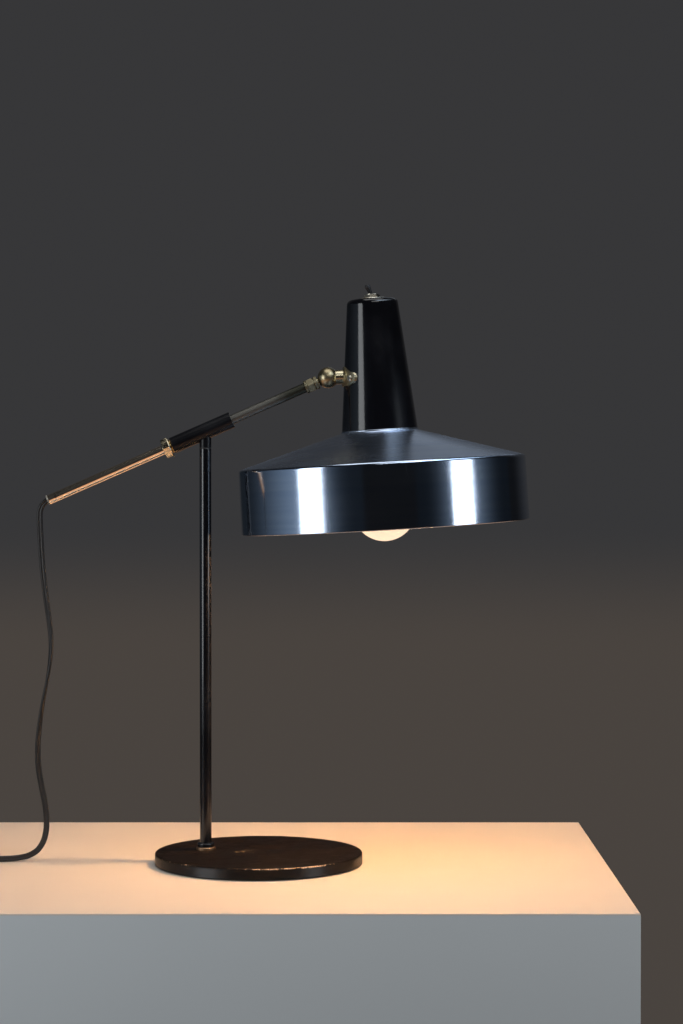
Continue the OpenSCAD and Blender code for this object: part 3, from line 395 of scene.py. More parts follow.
class Effects:
    """Shader groups that several finishes share, each built once."""

    SORTS = {"Vector": "NodeSocketVector", **dict.fromkeys(("Clean", "Dull", "Colour"), "NodeSocketColor")}

    def __init__(self) -> None:
        """Builds every group from the names of its inputs and outputs."""
        self.tarnish = self._make(
            "tarnish", "Vector Scale Amount Clean Dull Gloss Matt", "Colour Roughness Height", self._tarnish
        )
        self.chips = self._make("chips", "Vector Scale Where", "Mask", self._chips)
        self.lines = self._make("lathe_lines", "Vector Scale", "Fine Broad", self._lines)
        self.smudge = self._make("smudge", "Vector Scale Low High", "Roughness Mask", self._smudge)
        self.specks = self._make("specks", "Vector Scale Amount", "Mask", self._specks)
        self.scratches = self._make("scratches", "Vector Scale Amount", "Mask", self._scratches)

    def _make(self, name: str, inputs: str, outputs: str, fill: Callable) -> bpy.types.NodeTree:
        """Makes a group with named sockets and fills it.

        Args:
            name: Name of the group.
            inputs: Names of the inputs, with spaces between them.
            outputs: Names of the outputs, with spaces between them.
            fill: Takes the net and the group's inputs, and returns a socket for each output.

        Returns:
            The group's tree.
        """
        tree = bpy.data.node_groups.new(name, "ShaderNodeTree")
        for way, labels in (("INPUT", inputs), ("OUTPUT", outputs)):
            for label in labels.split():
                sort = self.SORTS.get(label, "NodeSocketFloat")
                tree.interface.new_socket(label, in_out=way, socket_type=sort)
        start, end = (tree.nodes.new("NodeGroup" + way) for way in ("Input", "Output"))
        for socket, result in zip(end.inputs, fill(Net(tree), *start.outputs[: len(inputs.split())])):
            tree.links.new(result, socket)
        return tree

    @staticmethod
    def _tarnish(net: Net, *inputs: Socket) -> list[Socket]:
        """Cloudy and speckled dulling of bare metal: noise above a level that drops as Amount grows.

        Args:
            net: The group's net.
            inputs: The group's inputs.

        Returns:
            Colour, roughness and height.
        """
        vector, scale, amount, clean, dull, gloss, matt = inputs
        cloud = net.noise(vector, scale, 4.0, 0.6)
        pits = net.noise(vector, net.times(scale, 7.0), 3.0, 0.65)
        low = net.minus(0.72, net.times(amount, 0.5))
        mask = net.span(net.plus(cloud, net.times(pits, 0.22)), low, net.plus(low, 0.2))
        speck = net.times(net.span(pits, 0.6, 0.72), net.times(amount, 0.8))
        share = net.math("ADD", mask, speck, clamp=True)
        rough = net.plus(gloss, net.times(share, net.minus(matt, gloss)))
        return [net.mix(share, clean, dull), rough, pits]

    @staticmethod
    def _chips(net: Net, vector: Socket, scale: Socket, where: Socket) -> list[Socket]:
        """Ragged patches where paint has gone: noise above a level that drops as Where grows.

        Args:
            net: The group's net.
            vector: Coordinates.
            scale: Scale of the patches.
            where: How much has gone.

        Returns:
            The mask.
        """
        ragged = net.noise(vector, scale, 6.0, 0.7)
        broad = net.noise(vector, net.times(scale, 0.22), 2.0, 0.5)
        low = net.minus(0.78, net.times(where, 0.36))
        return [net.span(net.plus(net.times(ragged, 0.7), net.times(broad, 0.3)), low, net.plus(low, 0.045))]

    @staticmethod
    def _lines(net: Net, vector: Socket, scale: Socket) -> list[Socket]:
        """Rings left by a spinning tool: noise along radius plus height, about the local Z axis.

        Args:
            net: The group's net.
            vector: Coordinates.
            scale: Scale of the fine rings.

        Returns:
            The fine and the broad rings.
        """
        x, y, z = net.split(vector)
        along = net.plus(net.radius(x, y), net.times(z, 1.31))
        return [net.rings(along, scale, 4.0, 0.7), net.rings(along, net.times(scale, 0.07), 2.0)]

    @staticmethod
    def _smudge(net: Net, vector: Socket, scale: Socket, low: Socket, high: Socket) -> list[Socket]:
        """Returns the roughness of handled patches, low + (high - low) times a cloud, and the cloud."""
        mask = net.span(net.noise(vector, scale, 2.5, 0.5), 0.36, 0.74)
        return [net.plus(low, net.times(mask, net.minus(high, low))), mask]

    @staticmethod
    def _specks(net: Net, vector: Socket, scale: Socket, amount: Socket) -> list[Socket]:
        """Small round specks of dust or lint: near the middle of random cells, where noise allows.

        Args:
            net: The group's net.
            vector: Coordinates.
            scale: Scale of the cells.
            amount: Strength of the specks.

        Returns:
            The mask.
        """
        dots = net.span(net.add("TexVoronoi", {"Vector": vector, "Scale": scale}).outputs[0], 0.16, 0.05)
        allowed = net.span(net.noise(vector, net.times(scale, 0.3), 1.0), 0.62, 0.7)
        return [net.times(net.times(dots, allowed), amount)]

    @staticmethod
    def _scratches(net: Net, vector: Socket, scale: Socket, amount: Socket) -> list[Socket]:
        """Straight hairline scratches: where long sheets of smooth noise cross its middle value, kept in patches.

        Args:
            net: The group's net.
            vector: Coordinates.
            scale: Scale of the sheets.
            amount: Strength of the scratches.

        Returns:
            The mask.
        """
        sheets = net.noise(net.stretch(vector, (0.1, 9.0, 0.1), (0.3, 0.5, 0.9)), scale, 0.0)
        hair = net.span(net.math("ABSOLUTE", net.minus(sheets, 0.5)), 0.02, 0.0)
        patch = net.span(net.noise(vector, net.times(scale, 0.5), 1.0), 0.52, 0.68)
        return [net.times(net.times(hair, patch), amount)]


class Look(Net):
    """The node tree of one finish: its shader, its coordinates, and the shared groups in short calls."""

    def __init__(self, material: Material, effects: Effects) -> None:
        """Clears the material's tree and sets up its shader.

        Args:
            material: The new material.
            effects: The shared groups.
        """
        super().__init__(material.node_tree)
        self.tree.nodes.clear()
        self.effects = effects
        self.shader = self.add("BsdfPrincipled")
        self.add("OutputMaterial", {0: self.shader.outputs[0]})
        self.where = self.add("TexCoord").outputs["Object"]

    def put(self, inputs: dict) -> None:
        """Feeds the shader's sockets."""
        self.feed(self.shader, inputs)

    def bump(self, height: Value, strength: float, depth: float) -> None:
        """Feeds a height into the shader's normal."""
        node = self.add("Bump", {"Height": height, "Strength": strength, "Distance": depth})
        self.put({"Normal": node.outputs[0]})

    def local(self, place: Place) -> Socket:
        """Finds coordinates in a local frame, so that a pattern follows the piece's own axis.

        Args:
            place: The local frame.

        Returns:
            The coordinates.
        """
        spot, turn = tuple(c * MM for c in place.origin), (0.0, math.radians(place.tilt), 0.0)
        inputs = {"Vector": self.where, "Location": spot, "Rotation": turn}
        return self.add("Mapping", inputs, vector_type="TEXTURE").outputs[0]

    def group(self, tree: bpy.types.NodeTree, inputs: dict) -> list[Socket]:
        """Places a shared group, wires its inputs and returns its outputs.

        Args:
            tree: The group's tree.
            inputs: Input name to a value or to an output socket.

        Returns:
            The outputs.
        """
        node = self.add("Group", node_tree=tree)
        self.feed(node, inputs)
        return list(node.outputs)

    def chips(self, scale: float, share: Value) -> Socket:
        """Returns a mask of ragged patches where paint has gone."""
        return self.group(self.effects.chips, {"Vector": self.where, "Scale": scale, "Where": share})[0]

    def lint(self, scale: float, amount: float) -> Socket:
        """Returns a mask of small round specks."""
        return self.group(self.effects.specks, {"Vector": self.where, "Scale": scale, "Amount": amount})[0]

    def hair(self, vector: Socket, scale: float, amount: float) -> Socket:
        """Returns a mask of hairline scratches."""
        return self.group(self.effects.scratches, {"Vector": vector, "Scale": scale, "Amount": amount})[0]

    def smudge(self, vector: Socket, scale: float, low: float, high: float) -> list[Socket]:
        """Returns the roughness of a handled surface and a mask of its patches."""
        return self.group(self.effects.smudge, {"Vector": vector, "Scale": scale, "Low": low, "High": high})


@dataclass(frozen=True)
class Finish:
    """A finish of the lamp. Subclasses wire their own look.

    Attributes:
        name: Name of the material.
    """

    name: str

    def make(self, effects: Effects) -> Material:
        """Makes the material.

        Args:
            effects: The shared groups.

        Returns:
            The finished material.
        """
        material = bpy.data.materials.new(self.name)
        material.use_nodes = True
        self.wire(Look(material, effects))
        return material

    def wire(self, look: Look) -> None:
        """Wires the look into the shader; each finish has its own."""
        raise NotImplementedError


@dataclass(frozen=True)
class Enamel(Finish):
    """Gloss enamel with a little orange peel, smudges, lint and hairlines."""

    colour: Colour = (0.0042, 0.0043, 0.0058)
    gloss: float = 0.14
    matt: float = 0.3
    coat: float = 0.35
    shine: float = 0.4
    wear: float = 0.0
    worn: Colour = (0.16, 0.085, 0.05)
    dust: Colour = (0.09, 0.088, 0.085)

    def wire(self, look: Look) -> None:
        """Dark body colour, roughness from smudges and scratches, fine bump.

        Args:
            look: The material's tree.
        """
        rough, handled = look.smudge(look.where, 26.0, self.gloss, self.matt)
        tint = look.mix(handled, self.colour, [c * 1.5 + 0.001 for c in self.colour])
        tint = look.mix(look.lint(420.0, 0.7), tint, self.dust)
        rough = look.plus(rough, look.times(look.hair(look.where, 60.0, 0.35), 0.25))
        if self.wear > 0:
            chip = look.chips(240.0, self.wear)
            tint = look.mix(chip, tint, self.worn)
            rough = look.plus(rough, look.times(chip, 0.2))
        look.put({
            "Base Color": tint, "Roughness": rough, "Specular IOR Level": self.shine,
            "Coat Weight": self.coat, "Coat Roughness": 0.1,
        })
        look.bump(look.noise(look.where, 420.0, 2.0), 0.05, 0.0003)


@dataclass(frozen=True)
class TexturedPaint(Finish):
    """Wrinkled black iron paint, rubbed to brown metal at the rim, partly a painted highlight, and beside the stem.

    Attributes:
        draft: How far the gloss on the upright side is turned up, as a slope.
        rubbed: Middle of the rubbed patch, in millimetres.
    """

    colour: Colour = (0.0046, 0.003, 0.0021)
    tone: Colour = (0.0105, 0.0062, 0.0038)
    rust: Colour = (0.4, 0.24, 0.13)
    bare: Colour = (0.78, 0.6, 0.43)
    dust: Colour = (0.12, 0.11, 0.1)
    rim: float = 105.0
    top: float = 12.0
    draft: float = 0.21
    rubbed: Pair = (-16.0, 0.0)

    def wire(self, look: Look) -> None:
        """Wrinkle bump, chips at the rim, partly a painted highlight, and where one patch was rubbed, brown tones in
        between.

        Args:
            look: The material's tree.
        """
        x, y, z = look.split(look.where)
        edge = look.times(look.span(look.radius(x, y), (self.rim - 2.2) * MM, (self.rim - 0.7) * MM),
                          look.span(z, (self.top - 2.6) * MM, (self.top - 0.8) * MM))
        # Rim chips are strongest from about x = 30 to 60 mm and weaker to the left and past 90 mm: partly real wear,
        # partly a painted highlight where the bulb's glint runs along the front edge.
        handled = look.times(look.span(x, -0.03, 0.03, 0.62, 0.95), look.span(x, 0.09, 0.06, 0.45, 1.0))
        dx, dy = (look.minus(c, at * MM) for c, at in zip((x, y), self.rubbed))
        patch = look.span(look.radius(dx, dy, 1.3), 0.07, 0.0)
        sparse = look.times(patch, look.span(look.noise(look.where, 150.0, 4.0, 0.7), 0.3, 0.7, 0.35, 0.8))
        chip = look.math("MAXIMUM", look.chips(330.0, look.times(edge, handled)), look.chips(1000.0, sparse))
        gone = look.math("MAXIMUM", chip, look.times(look.chips(150.0, 0.16), 0.45))
        mottle = look.span(look.noise(look.where, 38.0, 4.0, 0.6), 0.35, 0.7)
        metal = look.mix(look.span(look.noise(look.where, 520.0, 3.0), 0.4, 0.62), self.rust, self.bare)
        tint = look.mix(gone, look.mix(mottle, self.colour, self.tone), metal)
        side = look.span(z, (self.top - 0.6) * MM, (self.top - 2.4) * MM)
        facing = look.vector("ADD", {0: look.add("NewGeometry").outputs["Normal"], 1: (0.0, 0.0, self.draft)})
        look.put({
            "Base Color": look.mix(look.lint(300.0, 0.6), tint, self.dust),
            "Metallic": look.times(chip, 0.35),
            "Roughness": look.span(mottle, 0.0, 1.0, 0.4, 0.55),
            "Specular IOR Level": 0.1,
            "Coat Weight": look.times(side, look.span(mottle, 0.0, 1.0, 0.4, 0.32)),
            "Coat Roughness": 0.3,
            "Coat Normal": look.vector("NORMALIZE", {0: facing}),
        })
        wrinkle = look.add("TexVoronoi", {"Vector": look.where, "Scale": 640.0}, feature="SMOOTH_F1").outputs[0]
        grit = look.plus(look.times(wrinkle, 0.7), look.noise(look.where, 1500.0, 3.0))
        look.bump(look.minus(grit, look.times(chip, 0.8)), 0.42, 0.0005)


@dataclass(frozen=True)
class AgedMetal(Finish):
    """Bare or plated metal that has gone cloudy and spotted with age."""

    clean: Colour = (0.7, 0.52, 0.26)
    dull: Colour = (0.32, 0.22, 0.12)
    gloss: float = 0.2
    matt: float = 0.44
    amount: float = 0.5
    scale: float = 60.0
    place: Place = Place((0.0, 0.0, 0.0))
    stretch: float = 1.0
    relief: float = 0.03

    def wire(self, look: Look) -> None:
        """Tarnish clouds drawn out along the piece, with tool marks and hairlines.

        Args:
            look: The material's tree.
        """
        local = look.local(self.place)
        colour, rough, height = look.group(look.effects.tarnish, {
            "Vector": look.stretch(local, (1.0, 1.0, 1.0 / self.stretch)), "Scale": self.scale,
            "Amount": self.age(look, local), "Clean": rgba(self.clean), "Dull": rgba(self.dull),
            "Gloss": self.gloss, "Matt": self.matt,
        })
        look.put({
            "Base Color": self.tint(look, local, colour),
            "Roughness": look.plus(rough, look.times(look.hair(local, 160.0, 0.2), 0.15)),
            "Metallic": 1.0,
        })
        look.bump(height, self.relief, 0.0001)

    def age(self, look: Look, local: Socket) -> Value:
        """Returns how far the metal has aged, which is the same all over it."""
        return self.amount

    def tint(self, look: Look, local: Socket, colour: Socket) -> Socket:
        """Returns the colour over the tarnish, which is the tarnish's own."""
        return colour


@dataclass(frozen=True)
class PlatedTube(AgedMetal):
    """Plating, coppery low down and grey above as painted warm reflection and wear, darker near its upper end.

    Attributes:
        grey: Heights along the tube, in millimetres, where the grey begins and where it is full.
        more: How much more the grey part has aged.
        darker_from: Heights along the tube, in millimetres, where the darker end begins and where it is full.
        ragged: How far the darker end's border wanders, in millimetres.
        darker_end: Colour of the darker upper end.
    """

    grey: Pair = (-30.0, 20.0)
    more: float = 1.33
    darker_from: Pair = (62.0, 100.0)
    ragged: float = 30.0
    darker_end: Colour = (0.042, 0.042, 0.032)

    def age(self, look: Look, local: Socket) -> Value:
        """Returns the ageing, which grows along the tube; the clean low part is partly a painted warm reflection."""
        low, high = (z * MM for z in self.grey)
        return look.span(look.split(local)[2], low, high, self.amount, self.amount + self.more)

    def tint(self, look: Look, local: Socket, colour: Socket) -> Socket:
        """Returns the tarnish's colour, darker towards the upper end with a ragged border: height plus noise, above a
        level.

        Args:
            look: The material's tree.
            local: Coordinates along the tube.
            colour: The tarnish's colour.

        Returns:
            The stained colour.
        """
        low, high = ((z + self.ragged / 2) * MM for z in self.darker_from)
        wander = look.times(look.noise(local, 130.0, 3.0), self.ragged * MM)
        return look.mix(look.span(look.plus(look.split(local)[2], wander), low, high), colour, self.darker_end)


@dataclass(frozen=True)
class SpunAluminium(Finish):
    """Polished sheet with the rings of its spinning, faint cloudy oxide and hairlines, tinted blue as painted reflected
    light.
    """

    # Colour and oxide are tinted blue: a painted blue cast of the cool light the sheet reflects, over the metal's own
    # grey.
    colour: Colour = (0.44, 0.52, 0.66)
    oxide: Colour = (0.33, 0.4, 0.53)
    bright: Colour = (0.72, 0.76, 0.8)
    gloss: float = 0.07
    matt: float = 0.15
    roof: float = 0.16
    eave: float = -90.0

    def wire(self, look: Look) -> None:
        """Rings about the shade's axis in bump and roughness, a duller roof, oxide in colour.

        Args:
            look: The material's tree.
        """
        local = look.local(HEAD)
        fine, broad = look.group(look.effects.lines, {"Vector": local, "Scale": 1500.0})
        rough, cloud = look.smudge(look.where, 11.0, self.gloss, self.matt)
        tint = look.mix(look.times(cloud, 0.55), self.colour, self.oxide)
        tint = look.mix(look.times(look.span(broad, 0.36, 0.66), 0.16), tint, self.bright)
        roof = look.span(look.split(local)[2], (self.eave - 1) * MM, (self.eave + 2) * MM)
        for mask, more in ((fine, 0.04), (look.hair(local, 34.0, 0.5), 0.12), (roof, self.roof)):
            rough = look.plus(rough, look.times(mask, more))
        look.put({"Base Color": tint, "Roughness": rough, "Metallic": 1.0})
        look.bump(fine, 0.1, 0.00012)


@dataclass(frozen=True)
class Lacquer(Finish):
    """White lacquer inside the shade, a little yellowed and dusty."""

    colour: Colour = (0.78, 0.75, 0.69)
    yellowed: Colour = (0.72, 0.67, 0.58)
    dust: Colour = (0.4, 0.37, 0.33)

    def wire(self, look: Look) -> None:
        """Pale body with cloudy yellowing, satin gloss and a fine bump.

        Args:
            look: The material's tree.
        """
        cloud = look.span(look.noise(look.where, 14.0, 4.0), 0.35, 0.7)
        tint = look.mix(cloud, self.colour, self.yellowed)
        look.put({
            "Base Color": look.mix(look.lint(260.0, 0.5), tint, self.dust),
            "Roughness": look.span(cloud, 0.0, 1.0, 0.34, 0.48),
        })
        look.bump(look.noise(look.where, 500.0, 2.0), 0.05, 0.0002)


@dataclass(frozen=True)
class OpalGlass(Finish):
    """Opal bulb glass with the lamp lit: brightest round the belly, warmer at the neck.

    The table gets the bulb's full light. The camera, mirror images and whatever is within reach of the bulb get it
    dimmed, so that the glass keeps its roundness and the inside of the shade its detail.
    """

    hot: Colour = (1.0, 0.54, 0.24)
    warm: Colour = (1.0, 0.45, 0.16)
    face: Colour = (1.0, 0.75, 0.52)
    body: Colour = (0.32, 0.3, 0.28)
    shadow: Colour = (0.28, 0.26, 0.23)
    full: float = 225.0
    near: float = 3.2
    mirrored: float = 8.0
    reach: float = 0.156
    belly: float = -137.0

    def wire(self, look: Look) -> None:
        """Emission colour from the height along the bulb, scaled by how far the light goes.

        Args:
            look: The material's tree.
        """
        local = look.local(HEAD)
        up = look.span(look.split(local)[2], self.belly * MM, (self.belly + 50) * MM)
        cloud = look.span(look.noise(local, 30.0, 2.0), 0.3, 0.7)
        glow = look.mix(look.times(cloud, 0.12), look.mix(up, self.hot, self.warm), self.warm)
        path = look.add("LightPath").outputs
        far = look.math("GREATER_THAN", path["Ray Length"], self.reach)
        thrown = look.span(path["Is Glossy Ray"], 0.0, 1.0, self.full, self.mirrored)
        light = look.vector("SCALE", {0: glow, "Scale": look.span(far, 0.0, 1.0, self.near, thrown)})
        look.put({
            "Base Color": look.mix(cloud, self.body, self.shadow),
            "Emission Color": look.mix(path["Is Camera Ray"], light, look.mix(up, self.face, self.warm)),
            "Emission Strength": 1.0, "Roughness": 0.18,
        })


@dataclass(frozen=True)
class Moulded(Finish):
    """Moulded plastic or rubber with flow marks and a fine skin."""

    colour: Colour = (0.03, 0.022, 0.018)
    streak: Colour = (0.055, 0.036, 0.026)
    gloss: float = 0.24
    matt: float = 0.4

    def wire(self, look: Look) -> None:
        """Streaky body colour, handled gloss and a fine skin in the bump.

        Args:
            look: The material's tree.
        """
        flow = look.noise(look.stretch(look.where, (1.0, 1.0, 0.35)), 120.0, 5.0, 0.65)
        tint = look.mix(look.span(flow, 0.4, 0.68), self.colour, self.streak)
        look.put({
            "Base Color": look.mix(look.lint(520.0, 0.5), tint, [c + 0.08 for c in self.streak]),
            "Roughness": look.smudge(look.where, 55.0, self.gloss, self.matt)[0],
        })
        look.bump(look.noise(look.where, 700.0, 3.0), 0.25, 0.00015)


@dataclass(frozen=True)
class Flex(Finish):
    """Glossy black sheath of the cord, with a slow ripple along it and dust in its groove."""

    colour: Colour = (0.007, 0.0065, 0.0065)
    dust: Colour = (0.012, 0.0098, 0.0088)

    def wire(self, look: Look) -> None:
        """Pattern on the cord's own map: u runs round it and v along it.

        Args:
            look: The material's tree.
        """
        along = look.add("TexCoord").outputs["UV"]
        drawn = look.stretch(along, (1.0, 90.0, 1.0))
        ripple = look.noise(drawn, 1.0, 3.0)
        wave = look.math("COSINE", look.times(look.split(along)[0], 2 * math.pi))
        groove = look.span(look.math("ABSOLUTE", wave), 0.3, 0.08)
        dusty = look.times(groove, look.span(ripple, 0.35, 0.65))
        look.put({
            "Base Color": look.mix(dusty, self.colour, self.dust),
            "Roughness": look.smudge(drawn, 0.6, 0.42, 0.56)[0],
        })
        look.bump(ripple, 0.12, 0.0003)


@dataclass(frozen=True)
class Felt(Finish):
    """Pressed wool felt: matted fibres in two tones."""

    colour: Colour = (0.1, 0.13, 0.09)

    def wire(self, look: Look) -> None:
        """Crossed stretched noise as fibres, in colour and bump.

        Args:
            look: The material's tree.
        """
        ways = (((1.0, 6.0, 1.0), 420.0), ((6.0, 1.0, 1.0), 390.0))
        one, two = (look.noise(look.stretch(look.where, way), scale, 4.0, 0.7) for way, scale in ways)
        fibre = look.math("MAXIMUM", one, two)
        look.put({
            "Base Color": look.mix(look.span(fibre, 0.45, 0.75), self.colour, [c * 1.9 for c in self.colour]),
            "Roughness": 0.95, "Sheen Weight": 0.3,
        })
        look.bump(fibre, 0.8, 0.0006)


@dataclass(frozen=True)
class TableTop(Finish):
    """Pale laminate under the lamp, faintly cloudy; its warm top is painted light and its grey-blue sides painted
    shade.
    """

    # The warm top colour is painted warm light and the grey-blue side colour is painted shade, on one pale material.
    colour: Colour = (0.72, 0.645, 0.565)
    side: Colour = (0.76, 0.815, 0.845)

    def wire(self, look: Look) -> None:
        """Nearly plain pale colour with a soft sheen; the top is warmed as painted light and the sides cooled as
        painted shade.

        Args:
            look: The material's tree.
        """
        cloud = look.span(look.noise(look.where, 5.0, 3.0), 0.3, 0.7)
        tint = look.mix(look.times(cloud, 0.5), self.colour, [c * 0.965 for c in self.colour])
        # The sides below the top's edge take the grey-blue: painted shade.
        below = look.span(look.split(look.where)[2], -0.0005, -0.0025)
        look.put({
            "Base Color": look.mix(below, tint, self.side),
            "Roughness": look.span(cloud, 0.0, 1.0, 0.5, 0.6),
        })


class Palette:
    """The lamp's finishes, made once and handed to its pieces."""

    FINISHES: tuple[Finish, ...] = (
        TexturedPaint("base_paint"),
        Felt("felt"),
        Enamel("housing_enamel", gloss=0.1, matt=0.17, coat=0.06),
        Enamel("stem_enamel", gloss=0.18, matt=0.28, coat=0.4, shine=0.4, wear=0.14),
        Enamel("sleeve_enamel", gloss=0.28, matt=0.36, coat=0.0, shine=0.22),
        Enamel("lever_black", gloss=0.36, matt=0.5, coat=0.0),
        AgedMetal("foot_brass", (0.72, 0.47, 0.27), (0.38, 0.23, 0.13)),
        AgedMetal("ball_brass", (0.48, 0.43, 0.29), (0.3, 0.25, 0.15), gloss=0.24, matt=0.36, amount=0.4),
        AgedMetal("thread_brass", (0.72, 0.55, 0.28), (0.46, 0.32, 0.15), amount=0.35),
        AgedMetal("nut_nickel", (0.58, 0.51, 0.36), (0.3, 0.25, 0.16), 0.14, amount=0.4, place=ARM, stretch=3.0),
        AgedMetal("ferrule_nickel", (0.36, 0.33, 0.23), (0.19, 0.165, 0.105), 0.22, place=ARM, stretch=3.0),
        # The arm's clean colour is coppery and its low end stays clean: a painted warm reflection of the lit table,
        # over real plating wear.
        PlatedTube("arm_nickel", (0.95, 0.82, 0.66), (0.135, 0.13, 0.115), gloss=0.18, matt=0.46, amount=-0.3,
                   scale=26.0, place=ARM, stretch=5.0, relief=0.006),
        AgedMetal("saddle_brass", (0.5, 0.46, 0.34), (0.26, 0.22, 0.14), scale=90.0),
        AgedMetal("screw_nickel", (0.72, 0.7, 0.62), (0.4, 0.36, 0.28), amount=0.3, scale=200.0),
        AgedMetal("switch_nickel", (0.74, 0.71, 0.62), (0.45, 0.4, 0.31), amount=0.3, place=HEAD),
        AgedMetal("plain_steel", (0.5, 0.5, 0.5), (0.24, 0.22, 0.2), gloss=0.3, amount=0.4),
        AgedMetal("dark_steel", (0.14, 0.13, 0.12), (0.06, 0.05, 0.045), gloss=0.35),
        SpunAluminium("spun_aluminium"),
        Lacquer("shade_lacquer"),
        OpalGlass("opal_glass"),
        Moulded("bakelite"),
        Moulded("plug_rubber", (0.016, 0.016, 0.017), (0.024, 0.024, 0.025), 0.36, 0.5),
        Moulded("tie_rubber", (0.03, 0.03, 0.031), (0.045, 0.045, 0.045), 0.55, 0.7),
        Moulded("bush_nylon", (0.34, 0.32, 0.28), (0.28, 0.26, 0.22), 0.36, 0.5),
        Moulded("ceramic", (0.74, 0.71, 0.65), (0.68, 0.64, 0.57), 0.18, 0.3),
        Moulded("fibre", (0.2, 0.1, 0.06), (0.3, 0.16, 0.1), 0.6, 0.75),
        Moulded("wire_red", (0.2, 0.05, 0.035), (0.26, 0.08, 0.05), 0.4, 0.55),
        Flex("cord_sheath"),
        TableTop("table_top"),
    )

    def __init__(self) -> None:
        """Makes every material."""
        effects = Effects()
        self.made = {finish.name: finish.make(effects) for finish in self.FINISHES}

    def __getitem__(self, name: str) -> Material:
        """Returns a finish by name."""
        return self.made[name]


# The stage


@dataclass(frozen=True)
class SoftBox:
    """A soft box that faces the lamp.

    Attributes:
        name: Name of the light.
        at: Its place.
        size: Its width and height.
        radiance: Brightness of its face, where 1 is white.
        tint: Its colour.
        level: Whether it stands upright instead of tipping towards the lamp.
    """

    name: str
    at: Point
    size: Pair
    radiance: float
    tint: Colour = (1.0, 1.0, 1.0)
    level: bool = False

    def hang(self, target: Sequence[float]) -> None:
        """Adds the light; its power is pi times its area times its brightness.

        Args:
            target: The point that it faces.
        """
        data = bpy.data.lights.new(self.name, "AREA")
        data.shape = "RECTANGLE"
        data.size, data.size_y = self.size
        data.energy = math.pi * self.size[0] * self.size[1] * self.radiance
        data.color = self.tint
        x, y, z = np.array(target) - np.array(self.at)
        tip = math.atan2(math.hypot(x, y), 0.0 if self.level else -z)
        lamp = bpy.data.objects.new(self.name, data)
        lamp.location = self.at
        lamp.rotation_euler = (tip, 0.0, math.atan2(-x, y))
        lamp.visible_camera = False
        bpy.context.scene.collection.objects.link(lamp)


@dataclass(frozen=True)
class GlowCard:
    """A tall curved screen round one side of the lamp, bright along one upright line and fading to both ends.

    Attributes:
        name: Name of the screen.
        turn: Where the bright line stands, in degrees from the camera's side round to the right.
        fade: Angles over which the light fades, in degrees: towards the camera's side and away from it.
        radiance: Brightness along the bright line.
        dim: Brightness at both ends.
        radius: Distance from the lamp.
        rise: Heights of the lower and the upper edge.
        tint: Its colour.
        lights: Whether it lights things, or is only mirrored in them.
        columns: How many columns of faces it has.
    """

    name: str
    turn: float
    fade: Pair
    radiance: float
    dim: float = 0.015
    radius: float = 2.1
    rise: Pair = (0.0, 1.0)
    tint: Colour = (0.66, 0.82, 1.0)
    lights: bool = True
    columns: int = 48

    def stand(self, target: Sequence[float]) -> None:
        """Adds the screen, which the camera doesn't see.

        The light falls with the square of what is left of the way from the bright line to an end.

        Args:
            target: The point that it stands round.
        """
        inner, outer = self.fade
        off = np.linspace(-inner, outer, self.columns + 1)
        angle = np.radians(self.turn + math.copysign(1.0, self.turn) * off)
        left = 1.0 - np.abs(off) / np.where(off < 0, inner, outer)
        foot = np.stack([target[0] + self.radius * np.sin(angle), target[1] - self.radius * np.cos(angle)], axis=1)
        grid = np.stack([np.column_stack([foot, np.full(len(foot), z)]) for z in self.rise])
        first = np.arange(self.columns)
        faces = np.stack([first, first + 1, first + self.columns + 2, first + self.columns + 1], axis=1)
        mesh = bpy.data.meshes.new(self.name)
        mesh.from_pydata(grid.reshape(-1, 3).tolist(), [], faces.tolist())
        level = np.zeros((faces.size, 2), np.float32)
        level[:, 0] = np.tile(left, 2)[faces.ravel()]
        mesh.uv_layers.new(name="level").data.foreach_set("uv", level.ravel())
        mesh.materials.append(self.glow())
        card = bpy.data.objects.new(self.name, mesh)
        card.visible_camera = False
        card.visible_diffuse = card.visible_shadow = self.lights
        bpy.context.scene.collection.objects.link(card)

    def glow(self) -> Material:
        """Makes the screen's material.

        Returns:
            A light that falls smoothly from the bright line to the ends.
        """
        material = bpy.data.materials.new(self.name)
        material.use_nodes = True
        material.node_tree.nodes.clear()
        net = Net(material.node_tree)
        left = net.split(net.add("TexCoord").outputs["UV"])[0]
        strength = net.span(net.times(left, left), 0.0, 1.0, self.dim, self.radiance)
        light = net.add("Emission", {"Color": rgba(self.tint), "Strength": strength})
        net.add("OutputMaterial", {0: light.outputs[0]})
        return material


